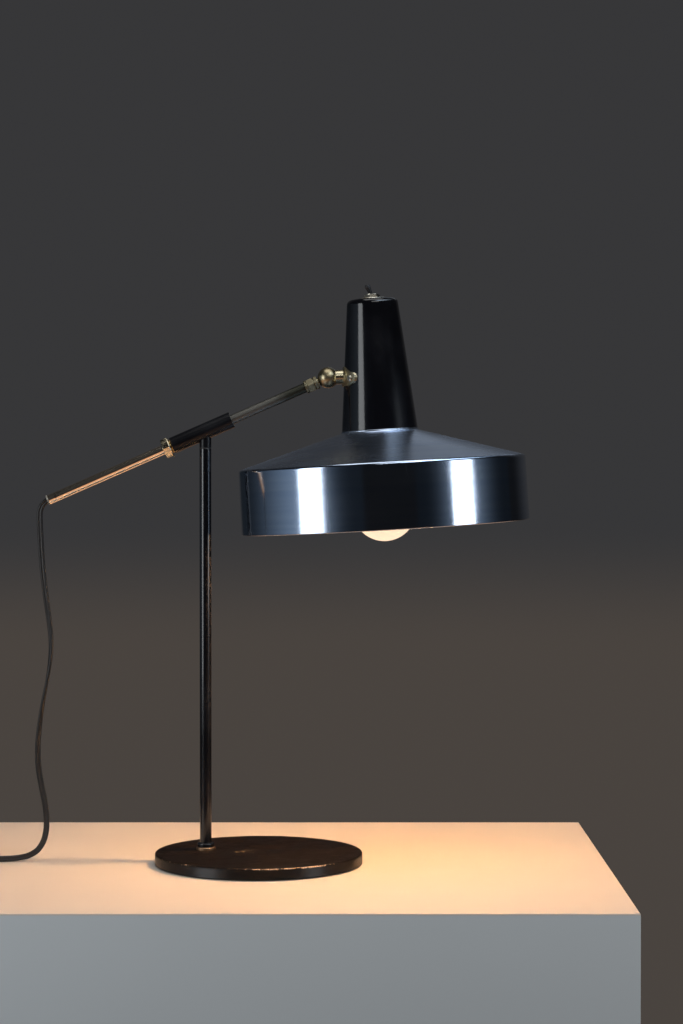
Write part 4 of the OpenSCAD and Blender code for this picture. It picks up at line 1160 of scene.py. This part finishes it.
@dataclass
class Stage:
    """Table, soft light and camera, set as in the photograph.

    Attributes:
        eye: Place of the camera.
        pitch: How far the camera looks down, in degrees.
        lens: Its focal length, in millimetres.
        table_x: Left and right edge of the table.
        table_y: Front and back edge of the table.
        table_t: Height of the table's sides.
        room: Grey of the room.
        floor: Warmer grey low down in it.
        low: How far down, from 0 to -1, the warmer grey begins and is full.
        front: How bright the room is in front of the lamp, as a share.
        behind: How far back, from 0 to 1, the room begins to brighten and is full.
        lift: How much looking up counts as looking back.
        glow: Light far below, which only polished things show.
        below: How far down, from 0 to -1, that light begins and is full.
        target: The point that the lights face.
        cards: The glow screens.
        boxes: The soft boxes.
    """

    eye: Point = (0.084, -2.375, 0.396)
    pitch: float = 0.95
    lens: float = 82.5
    table_x: Pair = (-0.4, 0.353)
    table_y: Pair = (-0.273, 0.28)
    table_t: float = 0.13
    room: Colour = (0.038, 0.038, 0.04)
    floor: Colour = (0.067, 0.0568, 0.0495)
    low: Pair = (-0.02, -0.075)
    front: float = 0.25
    behind: Pair = (0.6, 0.95)
    lift: float = 0.6
    glow: Colour = (0.8, 0.46, 0.29)
    below: Pair = (-0.25, -0.5)
    target: Point = (0.12, 0.014, 0.4)
    cards: tuple[GlowCard, ...] = (
        GlowCard("left_card", -62.0, (46.0, 96.0), 0.42, 0.022),
        GlowCard("right_card", 62.0, (38.0, 52.0), 0.36),
        GlowCard("high_card", 36.0, (52.0, 125.0), 8.0, rise=(2.0, 3.2), tint=(0.7, 0.84, 1.0), lights=False),
    )
    boxes: tuple[SoftBox, ...] = (
        SoftBox("left_box", (-1.197, -0.822, 0.5), (0.55, 0.9), 4.0, (0.95, 0.98, 1.0), True),
        SoftBox("right_box", (1.466, -0.714, 0.44), (0.5, 0.54), 4.0, (0.95, 0.98, 1.0), True),
        SoftBox("top_box", (0.1, -0.35, 2.3), (1.7, 1.3), 2.3),
        SoftBox("front_box", (0.6, -2.4, 2.25), (1.7, 1.0), 3.2),
        SoftBox("back_box", (0.8, 2.6, 2.0), (1.45, 1.0), 0.3, (0.78, 0.88, 1.0), True),
    )

    def camera(self) -> None:
        """Sets the camera level with the shade and a little down, as the photograph was taken."""
        data = bpy.data.cameras.new("camera")
        data.lens = self.lens
        data.clip_end = 50.0
        camera = bpy.data.objects.new("camera", data)
        camera.location = self.eye
        camera.rotation_euler = (math.radians(90 - self.pitch), 0.0, 0.0)
        bpy.context.scene.collection.objects.link(camera)
        bpy.context.scene.camera = camera

    def table(self, palette: Palette) -> None:
        """Lays the pale table as a slab with its top at the lamp's foot: its outline drawn in and let down by rows.

        Args:
            palette: The finishes.
        """
        (x0, x1), (y0, y1) = self.table_x, self.table_y
        outline = np.array([[x0, y0], [x1, y0], [x1, y1], [x0, y1]])
        middle = outline.mean(axis=0)
        rows = [(0.0, 0.0), (0.9985, 0.0), (0.9995, -0.0004), (1.0, -0.002), (1.0, -self.table_t), (0.0, -self.table_t)]
        grid = np.array([[[*(middle + (p - middle) * k), z] for p in outline] for k, z in rows])
        sheet_object("table", grid, [palette["table_top"]])

    def light(self) -> None:
        """Hangs the soft boxes, stands the screens and fills the room with grey, darker in front and warmer low down.

        Far below, the room glows warm, which only polished things show.
        """
        for soft_box in self.boxes:
            soft_box.hang(self.target)
        for card in self.cards:
            card.stand(self.target)
        world = bpy.data.worlds.new("room")
        world.use_nodes = True
        net = Net(world.node_tree)
        away, up = net.split(net.add("TexCoord").outputs["Generated"])[1:]
        level = net.span(net.plus(away, net.times(up, self.lift)), *self.behind, self.front, 1.0)
        path = net.add("LightPath").outputs
        below = net.times(path["Is Glossy Ray"], net.span(up, *self.below))
        grey = net.mix(net.span(up, *self.low), self.room, self.floor)
        net.feed(world.node_tree.nodes["Background"], {
            "Color": net.mix(below, grey, self.glow),
            "Strength": net.math("MAXIMUM", net.math("MAXIMUM", path["Is Camera Ray"], below), level),
        })
        bpy.context.scene.world = world


# The lamp


@dataclass
class Part:
    """A sub-assembly of the lamp, which makes its own pieces.

    Attributes:
        palette: The finishes.
    """

    palette: Palette

    def make(self) -> None:
        """Makes and dresses the pieces; each sub-assembly has its own."""
        raise NotImplementedError

    def dress(self, **solids: str) -> None:
        """Gives finishes to solids that stay as they are.

        Args:
            solids: For each finish, the names of its solids, with spaces between them.
        """
        for finish, nodes in solids.items():
            for node in nodes.split():
                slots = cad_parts[node].data.materials
                slots.clear()
                slots.append(self.palette[finish])
                LOG.info("solid %s in %s", node, finish)

    def turn(
        self,
        name: str,
        place: Place,
        profile: Array,
        finish: str,
        body: str,
        node: str = "",
        slot: str = "",
        segments: int = 128,
        surface: Surface = Surface.TORUS,
        swell: Optional[Swell] = None,
        row_finish: Optional[Array] = None,
        sharp: float = 40.0,
    ) -> None:
        """Makes a lathe-turned piece, sets it in the lamp and hides the solid that it stands for.

        Args:
            name: Name of the piece.
            place: The local frame that it is turned in.
            profile: Its profile (r, z) in millimetres.
            finish: Its finish, or more of them with spaces between them.
            body: The body that carries it.
            node: The solid that it replaces.
            slot: The record's material slot. Not used.
            segments: Steps round the axis.
            surface: How the profile closes.
            swell: Changes the radius by angle.
            row_finish: Number of the finish for each row of the profile.
            sharp: Edges that turn by more than this many degrees stay sharp.
        """
        grid = place.point(lathe(profile, segments, swell))
        finishes = [self.palette[one] for one in finish.split()]
        carry(sheet_object(name, grid, finishes, surface, row_finish, sharp), body, node)


@dataclass
class Cord(Part):
    """Flat twin flex that leaves the arm, hangs in waves, lies on the table and ends in a tied coil and a plug.

    Attributes:
        width: Width of the flex.
        lobe: Radius of each of its two lobes.
        groove: Half its thickness in the groove.
        space: Room between turns of the coil.
        turns: How many turns wind in, and again out.
        least: Least radius of the coil.
        tie_t: Thickness of the band round the coil.
        gap: Gap between the coil and the band.
        tie_slack: How much shorter than its solid's box the band is, at each end.
        plug_t: Thickness of the plug.
        plug_l: Length of the plug's body.
        plug_w: Width of the plug.
        sleeve_l: Length of the plug's ribbed sleeve.
        length: Length of the cord, in metres. Not used.
        columns: Steps round the flex.
        step: Distance between points before they are smoothed.
        reach: How many points the running mean takes on each side.
        spread: How many points make the width of its bell curve.
        every: Of the smoothed points, one out of this many is kept.
        twist: Where along the cord its half turn begins, and over what distance.
        lies: Where along the cord it lies on the table.
        still: Height below which the cord would stay with the sleeve when the arm slides. Not used.
        hang: The route of the solids: distance right and back from the arm's end, and height.
        leaves: Where on the arm's axis the cord leaves it.
        coil_off: The coil's middle, right and back from the exit.
        plug_off: The plug, right of the coil's end and back from the coil's middle.
        exit: Where the cord leaves the arm.
        coil: Middle of the coil.
    """

    width: float = 6.0
    lobe: float = 1.62
    groove: float = 1.12
    space: float = 0.6
    turns: float = 3.125
    least: float = 23.0
    tie_t: float = 0.8
    gap: float = 0.02
    tie_slack: float = 2.1
    plug_t: float = 13.7
    plug_l: float = 36.0
    plug_w: float = 26.0
    sleeve_l: float = 20.0
    length: float = 1.795
    columns: int = 24
    step: float = 0.5
    reach: int = 24
    spread: float = 7.0
    every: int = 5
    twist: Pair = (45.0, 300.0)
    lies: float = 395.0
    still: float = 30.0
    hang: tuple[Point, ...] = (
        (-3.0, 0, 366.5), (-5.5, 0, 363.9), (-7.2, 0, 360.9), (-8.0, 0, 357.4), (-8.1, 0, 352.0), (-7.9, 0, 343.0),
        (-7.3, 0, 332.0), (-6.6, 0, 318.0), (-5.6, 0, 303.0), (-4.1, 0, 288.0), (-2.3, 0, 273.0), (-0.3, 0, 258.0),
        (1.7, 0, 243.0), (3.0, 0, 231.0), (3.3, 0, 220.0), (2.6, 0, 208.0), (1.0, 0, 195.0), (-1.7, 0, 180.0),
        (-4.7, 0, 165.0), (-7.2, 0, 150.0), (-9.1, 0, 135.0), (-10.4, 0, 120.0), (-10.6, 0, 105.0), (-9.2, 0, 90.0),
        (-6.4, 0, 75.0), (-3.6, 0, 60.0), (-1.7, 0, 46.0), (-1.7, 0, 33.0), (-4.4, -0.2, 20.5), (-10.6, -0.8, 10.8),
        (-20.5, -1.8, 5.4), (-33.0, -3.6, 3.5), (-47.0, -6.0, 3.3), (-61.0, -8.8, 3.3), (-75.0, -11.8, 3.5),
        (-87.0, -14.2, 3.8),
    )
    leaves: float = -175.4
    coil_off: Pair = (-103.0, 28.0)
    plug_off: Pair = (-0.64, 48.0)
    exit: Array = field(init=False)
    coil: Array = field(init=False)

    def __post_init__(self) -> None:
        """Finds the exit at the arm's end and the coil's middle from it."""
        self.exit = ARM.point([0, 0, self.leaves]) / MM
        self.coil = self.exit[:2] + np.array(self.coil_off)

    def coil_at(self, turned: Array) -> Array:
        """The coil: its radius falls to the least and grows again at a steady rate, and it climbs as it reverses.

        Args:
            turned: Degrees turned from the coil's start.

        Returns:
            Points in millimetres.
        """
        half = self.turns * 360
        pitch = self.width + self.space
        r = self.least + pitch * np.abs(turned - half) / 360
        z0 = self.tie_t + self.gap + self.space / 4 + self.width / 2
        z = z0 + pitch * np.clip((turned - half + 90) / 180, 0, 1)
        a = np.radians(-90 - turned)
        return np.stack([self.coil[0] + r * np.cos(a), self.coil[1] + r * np.sin(a), z], axis=-1)

    def plug_at(self) -> Array:
        """Returns the plug's middle where its body starts, on the table."""
        out = self.coil_at(np.array([self.turns * 720]))[0]
        return np.array([out[0] + self.plug_off[0], self.coil[1] + self.plug_off[1], 0.0])

    def line(self) -> Array:
        """The cord's middle line: all its points joined, evenly spread and smoothed by a short running mean.

        Returns:
            Points 2.5 mm apart, in millimetres.
        """
        half = self.turns * 360
        ends = self.coil_at(np.array([0.0, 1.0, 2 * half - 1, 2 * half]))
        into, away = unit(ends[1] - ends[0]), unit(ends[3] - ends[2])
        hung = np.array(self.hang) + np.array([self.exit[0], self.exit[1], 0.0])
        plug = self.plug_at() + np.array([0.0, -self.sleeve_l, self.plug_t / 2])
        rough = np.vstack([
            self.exit, hung, ends[0] - into * 10, ends[0] - into * 6, self.coil_at(np.arange(0, 2 * half + 0.1, 3.0)),
            ends[3] + away * 6, ends[3] + away * 10, plug + np.array([0.1, -8.0, 1.2]), plug + np.array([0, -4.0, 0]),
            plug,
        ])
        run, n = walked(rough), self.reach
        even = np.arange(0, run[-1], self.step)
        fine = np.stack([np.interp(even, run, rough[:, k]) for k in range(3)], axis=-1)
        window = np.exp(-0.5 * (np.arange(-n, n + 1) / self.spread) ** 2)
        window /= window.sum()
        first = fine[:1] + (fine[:1] - fine[n:0:-1])
        last = fine[-1:] + (fine[-1:] - fine[-2 : -2 - n : -1])
        padded = np.vstack([first, fine, last])
        soft = np.stack([np.convolve(padded[:, k], window, mode="valid") for k in range(3)], axis=-1)
        return np.vstack([soft[:: self.every], soft[-1:]])

    def tube(self, line: Array) -> Array:
        """Carries the twin section along the line.

        The section is two round lobes side by side. Its broad way w starts in the plane of the arm, turns half a
        round as the cord hangs and stands upright on the table: w = cos(twist) n + sin(twist) b.

        Args:
            line: The middle line in millimetres.

        Returns:
            A grid of points in metres, closed by single points at both ends.
        """
        way = unit(np.gradient(line, axis=0))
        run = walked(line)
        normal = np.cross(np.array([0.0, 1.0, 0.0]), way)
        upright = np.array([0.0, 0.0, 1.0]) - way * way[:, 2:3]
        normal = unit(np.where((run > self.lies)[:, None], upright, normal))
        twist = np.pi * eased(np.clip((run - self.twist[0]) / self.twist[1], 0, 1))[:, None]
        broad = np.cos(twist) * normal + np.sin(twist) * np.cross(way, normal)
        thin = np.cross(way, broad)
        a = np.linspace(0, 2 * np.pi, self.columns, endpoint=False)
        off = self.width / 2 - self.lobe
        r = np.maximum(off * np.abs(np.cos(a)) + np.sqrt(self.lobe**2 - (off * np.sin(a)) ** 2), self.groove)
        u, v = (r * wave(a) for wave in (np.cos, np.sin))
        section = u[None, :, None] * broad[:, None, :] + v[None, :, None] * thin[:, None, :]
        return capped(line[:, None, :] + section, line[0], line[-1]) * MM

    def make(self) -> None:
        line = self.line()
        cord = sheet_object("twin_flex", self.tube(line), [self.palette["cord_sheath"]], sharp=60)
        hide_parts("cord_drop", "cord_coil", "cord_tail")
        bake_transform(cord)
        self.dress(switch_nickel="plug_pins")
        pieces = [self.tie(), self.plug(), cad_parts["plug_pins"]]
        LOG.info("cord of %d rings", len(line))

    def tie(self) -> Object:
        """The band round the coil: a rounded oblong loop with a soft rectangular section.

        Returns:
            The band.
        """
        low, high = (np.array(corner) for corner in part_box("coil_tie"))
        middle = (low + high) / 2 / MM
        x, y, z = (high - low) / 2 / MM - np.array([self.tie_slack, 0.0, 0.0])
        loop = ring((x, -x), (z, -z), (4.5,) * 4, steps=10)
        way = np.roll(loop, -1, axis=0) - np.roll(loop, 1, axis=0)
        inward = unit(np.stack([-way[:, 1], way[:, 0]], axis=-1))
        section = rounded([(0, -y, 0.3), (0, y, 0.3), (self.tie_t, y, 0.3), (self.tie_t, -y, 0.3)], steps=3)
        at = loop[:, None, :] + inward[:, None, :] * section[None, :, :1]
        across = np.repeat(section[None, :, 1:2], len(loop), axis=0)
        grid = np.concatenate([at[..., :1], across, at[..., 1:]], axis=-1) + middle
        band = sheet_object("coil_band", grid * MM, [self.palette["tie_rubber"]], Surface.TORUS)
        return carry(band, "sleeve", "coil_tie")

    def plug(self) -> Object:
        """The flat plug: soft oblong sections from its ribbed tapered sleeve to its face.

        The half width and half height follow curves along the plug, and each section is a superellipse
        |x/w|^n + |z/h|^n = 1 whose power grows from round to nearly square.

        Returns:
            The plug's body.
        """
        sides, brow, shoulder = 72, 1.6, 0.42
        neck, flare, rib_h, rib_step = 3.8, 1.0, 0.28, 3.2
        grip_low, grip_high, grip_h, grip_step = 17, 31, 0.35, 2.8
        face = self.plug_l - brow
        y = np.concatenate([np.linspace(-self.sleeve_l, 0, 81), np.linspace(0.4, face, 44),
                            face + brow * np.sin(np.linspace(0.2, np.pi / 2, 6))])
        taper = np.clip((y + self.sleeve_l) / self.sleeve_l, 0, 1)
        rise = eased(np.clip(y / (self.plug_l * shoulder), 0, 1))
        rib = np.where(y < -2, rib_h * np.cos(2 * np.pi * (y + self.sleeve_l) / rib_step), 0.0)
        sleeve_r = neck + flare * taper + rib
        edge = np.clip((y - self.plug_l + brow) / brow, 0, 1)
        ease = 1.2 * (1 - np.sqrt(np.maximum(1 - edge**2, 0)))
        wave = grip_h * np.cos(2 * np.pi * (y - grip_low) / grip_step) - grip_h
        grip = np.where((y > grip_low) & (y < grip_high), wave, 0.0)
        half_w = sleeve_r + (self.plug_w / 2 - sleeve_r) * rise - ease
        half_h = sleeve_r + (self.plug_t / 2 - sleeve_r) * rise - ease + grip * rise
        power = 2 / (2.0 + 2.6 * rise)[:, None]
        a = np.linspace(0, 2 * np.pi, sides, endpoint=False)[None, :]
        halves = ((half_w, np.cos(a)), (half_h, np.sin(a)))
        x, z = (half[:, None] * np.sign(c) * np.abs(c) ** power for half, c in halves)
        grid = np.stack([x, np.repeat(y[:, None], sides, axis=1), z], axis=-1)
        grid = capped(grid, grid[0].mean(axis=0), grid[-1].mean(axis=0))
        grid = grid + self.plug_at() + np.array([0, 0, self.plug_t / 2])
        body = sheet_object("flat_plug", grid * MM, [self.palette["plug_rubber"]], sharp=50)
        return carry(body, "sleeve", "plug_body")


@dataclass
class Base(Part):
    """Weighted disc, its foot and the stem.

    Attributes:
        proud: How far the felt stands out below the disc.
        bore_r: Inner radius of the stem.
    """

    radius: float = 105.0
    top: float = 12.0
    proud: float = 0.8
    felt_t: float = 2.0
    felt_r: float = 95.1
    washer_bore: float = 4.3
    washer_r: float = 9.75
    collar_bore: float = 6.02
    collar_r: float = 8.5
    collar_top: float = 19.0
    stem_r: float = 6.0
    stem_low: float = 15.0
    stem_top: float = 421.0
    bore_r: float = 4.5

    def make(self) -> None:
        """Turns the disc, the washer, the collar and the stem, and dresses the rest."""
        r, t, low, high = self.radius, self.top, self.stem_low, self.stem_top
        disc = rounded([(0.0, t, 0), (r, t, 1.5), (r, self.proud, 0.7), (self.felt_r, self.proud, 0.2),
                        (self.felt_r, self.felt_t, 0.2), (0.0, self.felt_t, 0)], closed=False)
        self.turn("iron_disc", Place((0, 0, 0)), disc, "base_paint", "base", "base_disc", "base_paint", 256,
                  Surface.PIPE)
        washer = ring((self.washer_bore, self.washer_r), (t, low), (0.1, 0.3, 1.1, 0.1))
        self.turn("bright_washer", STEM, washer, "foot_brass", "base", "foot_washer", "worn_brass")
        collar = ring((self.collar_bore, self.collar_r), (low, self.collar_top), (0.1, 0.3, 1.5, 0.2))
        self.turn("stem_collar", STEM, collar, "stem_enamel", "base", "foot_collar", "gloss_black")
        stem = ring((self.bore_r, self.stem_r), (low, high), (0.1, 0.3, 0.4, 0.2))
        self.turn("slim_stem", STEM, stem, "stem_enamel", "base", "stem_tube", "gloss_black", 96)
        self.dress(felt="base_felt", plain_steel="stem_plug stem_bolt bolt_washer", dark_steel="swivel_grub",
                   tie_rubber="thrust_washer")


@dataclass
class Arm(Part):
    """Sleeve, clamp nut, arm and ferrule, all on the arm's axis.

    Attributes:
        tail: The arm's lower end, along its axis.
        nose: The arm's upper end.
        bush_fit: Radius of the bush inside the arm.
        bush_lip: How far the bush stands out of the arm.
        nut: Lower and upper face of the nut.
        nut_outer: Radius beyond which the nut is a hexagon.
        thread_h: Half the height of the thread's ridges.
        thread_deep: How far inside the ridges' foot the thread's inner face lies.
        ferrule: Lower and upper end of the ferrule.
        hex_from: How far outside the flats a row of the ferrule has to reach to become a hexagon.
        hex_rows: Share of the ferrule's rows, from its lower end, that may become one.
    """

    tail: float = -174.0
    nose: float = 123.0
    radius: float = 5.0
    bore: float = 4.0
    bush_r: float = 5.4
    bush_bore: float = 3.05
    bush_fit: float = 3.96
    bush_lip: float = 1.4
    bush_l: float = 13.0
    nut: Pair = (-46.3, -38.6)
    nut_flats: float = 19.5
    nut_face: float = 9.5
    nut_bore: float = 5.3
    nut_thread: float = 7.1
    nut_outer: float = 8.0
    thread_r: float = 6.98
    thread_end: float = -36.76
    thread_pitch: float = 0.62
    thread_h: float = 0.16
    thread_deep: float = 0.4
    ferrule: Pair = (111.0, 125.0)
    ferrule_flats: float = 13.0
    ferrule_fit: float = 5.04
    ferrule_bore: float = 4.1
    flange_r: float = 7.4
    hex_from: float = 0.45
    hex_rows: float = 0.62

    def make(self) -> None:
        """Turns the arm, the nut, the ferrule and the thread, and dresses the rest."""
        tail, hole, fit = self.tail, self.bush_bore, self.bush_fit
        tube = ring((self.bore, self.radius), (tail, self.nose), (0.1, 0.35, 0.2, 0.1))
        self.turn("plated_arm", ARM, tube, "arm_nickel", "arm", "arm_tube", "arm_plate", 96)
        lip, deep = tail - self.bush_lip, tail + self.bush_l
        bush = rounded([(hole, lip, 0.5), (self.bush_r, lip, 0.5), (self.bush_r, tail, 0.3), (fit, tail, 0.1),
                        (fit, deep, 0.2), (hole, deep, 0.2)])
        self.turn("pale_bush", ARM, bush, "bush_nylon", "arm", "end_bush", "nylon", 96)
        self.dress(sleeve_enamel="pivot_sleeve", bush_nylon="guide_bush", thread_brass="collet_insert",
                   dark_steel="cord_grip_screw ferrule_grub", cord_sheath="inner_flex")
        self.make_nut()
        self.make_thread()
        self.make_ferrule()

    def make_nut(self) -> None:
        """Turns the hexagonal clamp nut, chamfered at both faces."""
        low, high = self.nut
        face, bore, thread = self.nut_face, self.nut_bore, self.nut_thread
        corner = self.nut_flats / 2 / math.cos(math.pi / 6) + 0.25
        nut = rounded([(bore, low, 0.2), (face, low, 0.3), (corner, low + 1.0, 0.3), (corner, high - 1.0, 0.3),
                       (face, high, 0.3), (thread, high, 0.3), (thread, low + 4.3, 0.2), (5.8, low + 1.4, 0.2),
                       (bore, low + 1.0, 0.1)])
        swell = hexed(self.nut_flats, 0.5)
        self.turn("hex_nut", ARM, nut, "nut_nickel", "clamp_nut", "clamp_nut", "nickel", 144,
                  swell=lambda r, a: np.where(r > self.nut_outer, swell(r, a), r), sharp=50)

    def make_thread(self) -> None:
        """Turns the ridges of the thread that shows between the nut and the sleeve: a cosine wave along it."""
        z = np.linspace(self.nut[1] + 0.06, self.thread_end, 49)
        h, deep = self.thread_h, self.thread_r - self.thread_deep
        ridge = self.thread_r + h + h * np.cos(2 * np.pi * (z - z[0]) / self.thread_pitch + np.pi)
        inner = np.array([[deep, z[-1]], [deep, z[0]]])
        profile = np.vstack([np.stack([ridge, z], axis=-1), inner])
        self.turn("clamp_thread", ARM, profile, "thread_brass", "sleeve", slot="brass", segments=96)

    def make_ferrule(self) -> None:
        """Turns the ferrule: a ring, a hexagon and a bright flange."""
        low, high = self.ferrule
        flats, fit, bore, flange = self.ferrule_flats / 2, self.ferrule_fit, self.ferrule_bore, self.flange_r
        profile = rounded([
            (fit, low, 0.1), (flats + 0.3, low, 0.5), (flats + 0.3, low + 2.2, 0.5), (flats - 0.5, low + 2.5, 0.2),
            (flats + 1.1, low + 3.2, 0.3), (flats + 1.1, high - 5.0, 0.3), (flats - 0.6, high - 4.2, 0.3),
            (flange, high - 2.9, 0.5), (flange, high - 0.7, 0.5), (6.6, high, 0.3), (bore, high, 0.1),
            (bore, self.nose + 0.1, 0.1), (fit, self.nose, 0.1),
        ])
        swell = hexed(self.ferrule_flats, 0.4)

        def shape(r: Array, a: Array) -> Array:
            """Makes a hexagon only of the wide rows before the flange."""
            before = np.arange(len(r))[:, None] < len(r) * self.hex_rows
            return np.where((r > flats + self.hex_from) & before, swell(r, a), r)

        self.turn("bright_ferrule", ARM, profile, "ferrule_nickel", "arm", "arm_ferrule", "nickel", 144,
                  swell=shape, sharp=50)


@dataclass
class Head(Part):
    """Knuckle, saddle, housing, switch and what is inside.

    Attributes:
        bottom: Radius and height of the housing's lower edge.
        top: Radius and height of its upper edge.
        hole: Radius of the hole in its top.
    """

    bottom: Pair = (38.7, -56.0)
    top: Pair = (25.7, 77.0)
    wall: float = 1.0
    hole: float = 6.3
    plate_r: float = 13.0
    plate_bore: float = 6.1
    plate_t: float = 1.6

    def make(self) -> None:
        """Turns the housing and the switch's plate, and dresses the rest."""
        (r0, z0), (r1, z1), w = self.bottom, self.top, self.wall
        side = rounded([(r0 - w, z0, 0.2), (r0, z0, 0.5), (r1, z1, 5.2), (self.hole, z1, 0.2), (self.hole, z1 - w, 0.2),
                        (r1 - w, z1 - w, 4.0)], steps=10)
        self.turn("tapered_housing", HEAD, side, "housing_enamel", "head", "cone_housing", "gloss_black", 256)
        r, z = self.plate_r, z1 + self.plate_t
        bore = self.plate_bore
        plate = rounded([(bore, z1, 0.1), (r, z1, 0.2), (r, z1 + 0.7, 0.3), (r - 1, z, 0.6), (bore, z, 0.2)])
        self.turn("switch_disc", HEAD, plate, "switch_nickel", "head", "switch_plate", "nickel")
        self.dress(
            ball_brass="ball_rear ball_front", fibre="friction_washer", saddle_brass="saddle_bracket",
            switch_nickel="pivot_screw switch_bushing switch_nut bulb_cap", screw_nickel="saddle_screws",
            plain_steel="neck_washer neck_nut inner_bracket nipple_nuts", ceramic="holder_insert",
            thread_brass="holder_nipple screw_shell centre_contact", lever_black="switch_lever",
            bakelite="holder_cap holder_body shade_ring switch_body", wire_red="head_wires",
        )


@dataclass
class Shade(Part):
    """Spun shade, polished outside and lacquered inside, and the bulb under it.

    Attributes:
        hole: Radius of the hole in its top.
        neck: Radius and height of its upper corner.
        collar: Height where the roof begins.
        eave: Radius and height of the roof's outer end.
        edge: Radius and height of the lower edge.
        hem: Width of the rolled lower edge.
        bulb_cap: How far below the bulb's top the cap's rim is.
    """

    hole: float = 20.2
    neck: Pair = (39.0, -56.0)
    collar: float = -58.0
    eave: Pair = (146.0, -89.5)
    edge: Pair = (146.6, -155.0)
    sheet: float = 0.9
    hem: float = 2.2
    bulb_r: float = 32.5
    bulb_neck: float = 14.2
    bulb_top: float = -54.38
    bulb_cap: float = 26.5
    bulb_l: float = 115.0

    def make(self) -> None:
        """Turns the shade and the bulb."""
        t, h = self.sheet, self.hem
        (rn, zn), (re, ze), (rb, zb) = self.neck, self.eave, self.edge
        drop = t / math.cos(math.atan2(self.collar - ze, re - rn - 0.4))
        outer = [(self.hole, zn, 0.1), (rn, zn, 0.5), (rn + 0.4, self.collar, 0.8), (re, ze, 2.6), (rb, zb, 0.95)]
        inner = [(rb - h, zb, 0.95), (rb - h, zb + h, 0.5), (rb - t, zb + 1.4 * h, 0.5), (re - t, ze - drop, 2.0),
                 (rn + 0.2, self.collar - drop, 0.8), (rn - t, zn - t, 0.4), (self.hole, zn - t, 0.1)]
        profile = rounded(outer + inner, steps=10)
        inside = np.where(np.arange(len(profile)) < len(profile) * len(outer) // len(outer + inner), 0, 1)
        self.turn("spun_shade", HEAD, profile, "spun_aluminium shade_lacquer", "head", "shade", "spun_aluminium", 384,
                  row_finish=inside)
        self.make_bulb()

    def make_bulb(self) -> None:
        """Turns the bulb's glass: a neck that swells by half a cosine wave into a round belly."""
        rim, r, neck = self.bulb_top - self.bulb_cap, self.bulb_r, self.bulb_neck
        belly = self.bulb_top - self.bulb_l + r
        share = np.linspace(0, 1, 40)[:-1]
        flare = np.stack([neck + (r - neck) * (1 - np.cos(np.pi * share)) / 2,
                          rim - 1 + (belly - rim + 1) * share], axis=-1)
        a = np.linspace(0, -np.pi / 2, 40)
        bowl = np.stack([r * np.cos(a), belly + r * np.sin(a)], axis=-1)
        bowl[-1, 0] = 0.0
        cap = [[0.0, rim + 11.5], [11.6, rim + 11.5], [12.0, rim + 11.0], [12.0, rim - 0.2]]
        profile = np.vstack([cap, flare, bowl])
        self.turn("bulb", HEAD, profile, "opal_glass", "head", "bulb_glass", "opal_glass", surface=Surface.PIPE)


def main() -> None:
    """Builds the stage and the lamp."""
    logging.basicConfig(level=logging.INFO, format="%(name)s: %(message)s")
    bpy.context.scene.view_settings.view_transform = "Standard"
    palette, stage = Palette(), Stage()
    stage.camera()
    for part in (Cord, Base, Arm, Head, Shade):
        part(palette).make()
    stage.table(palette)
    stage.light()


if __name__ == "__main__":
    main()
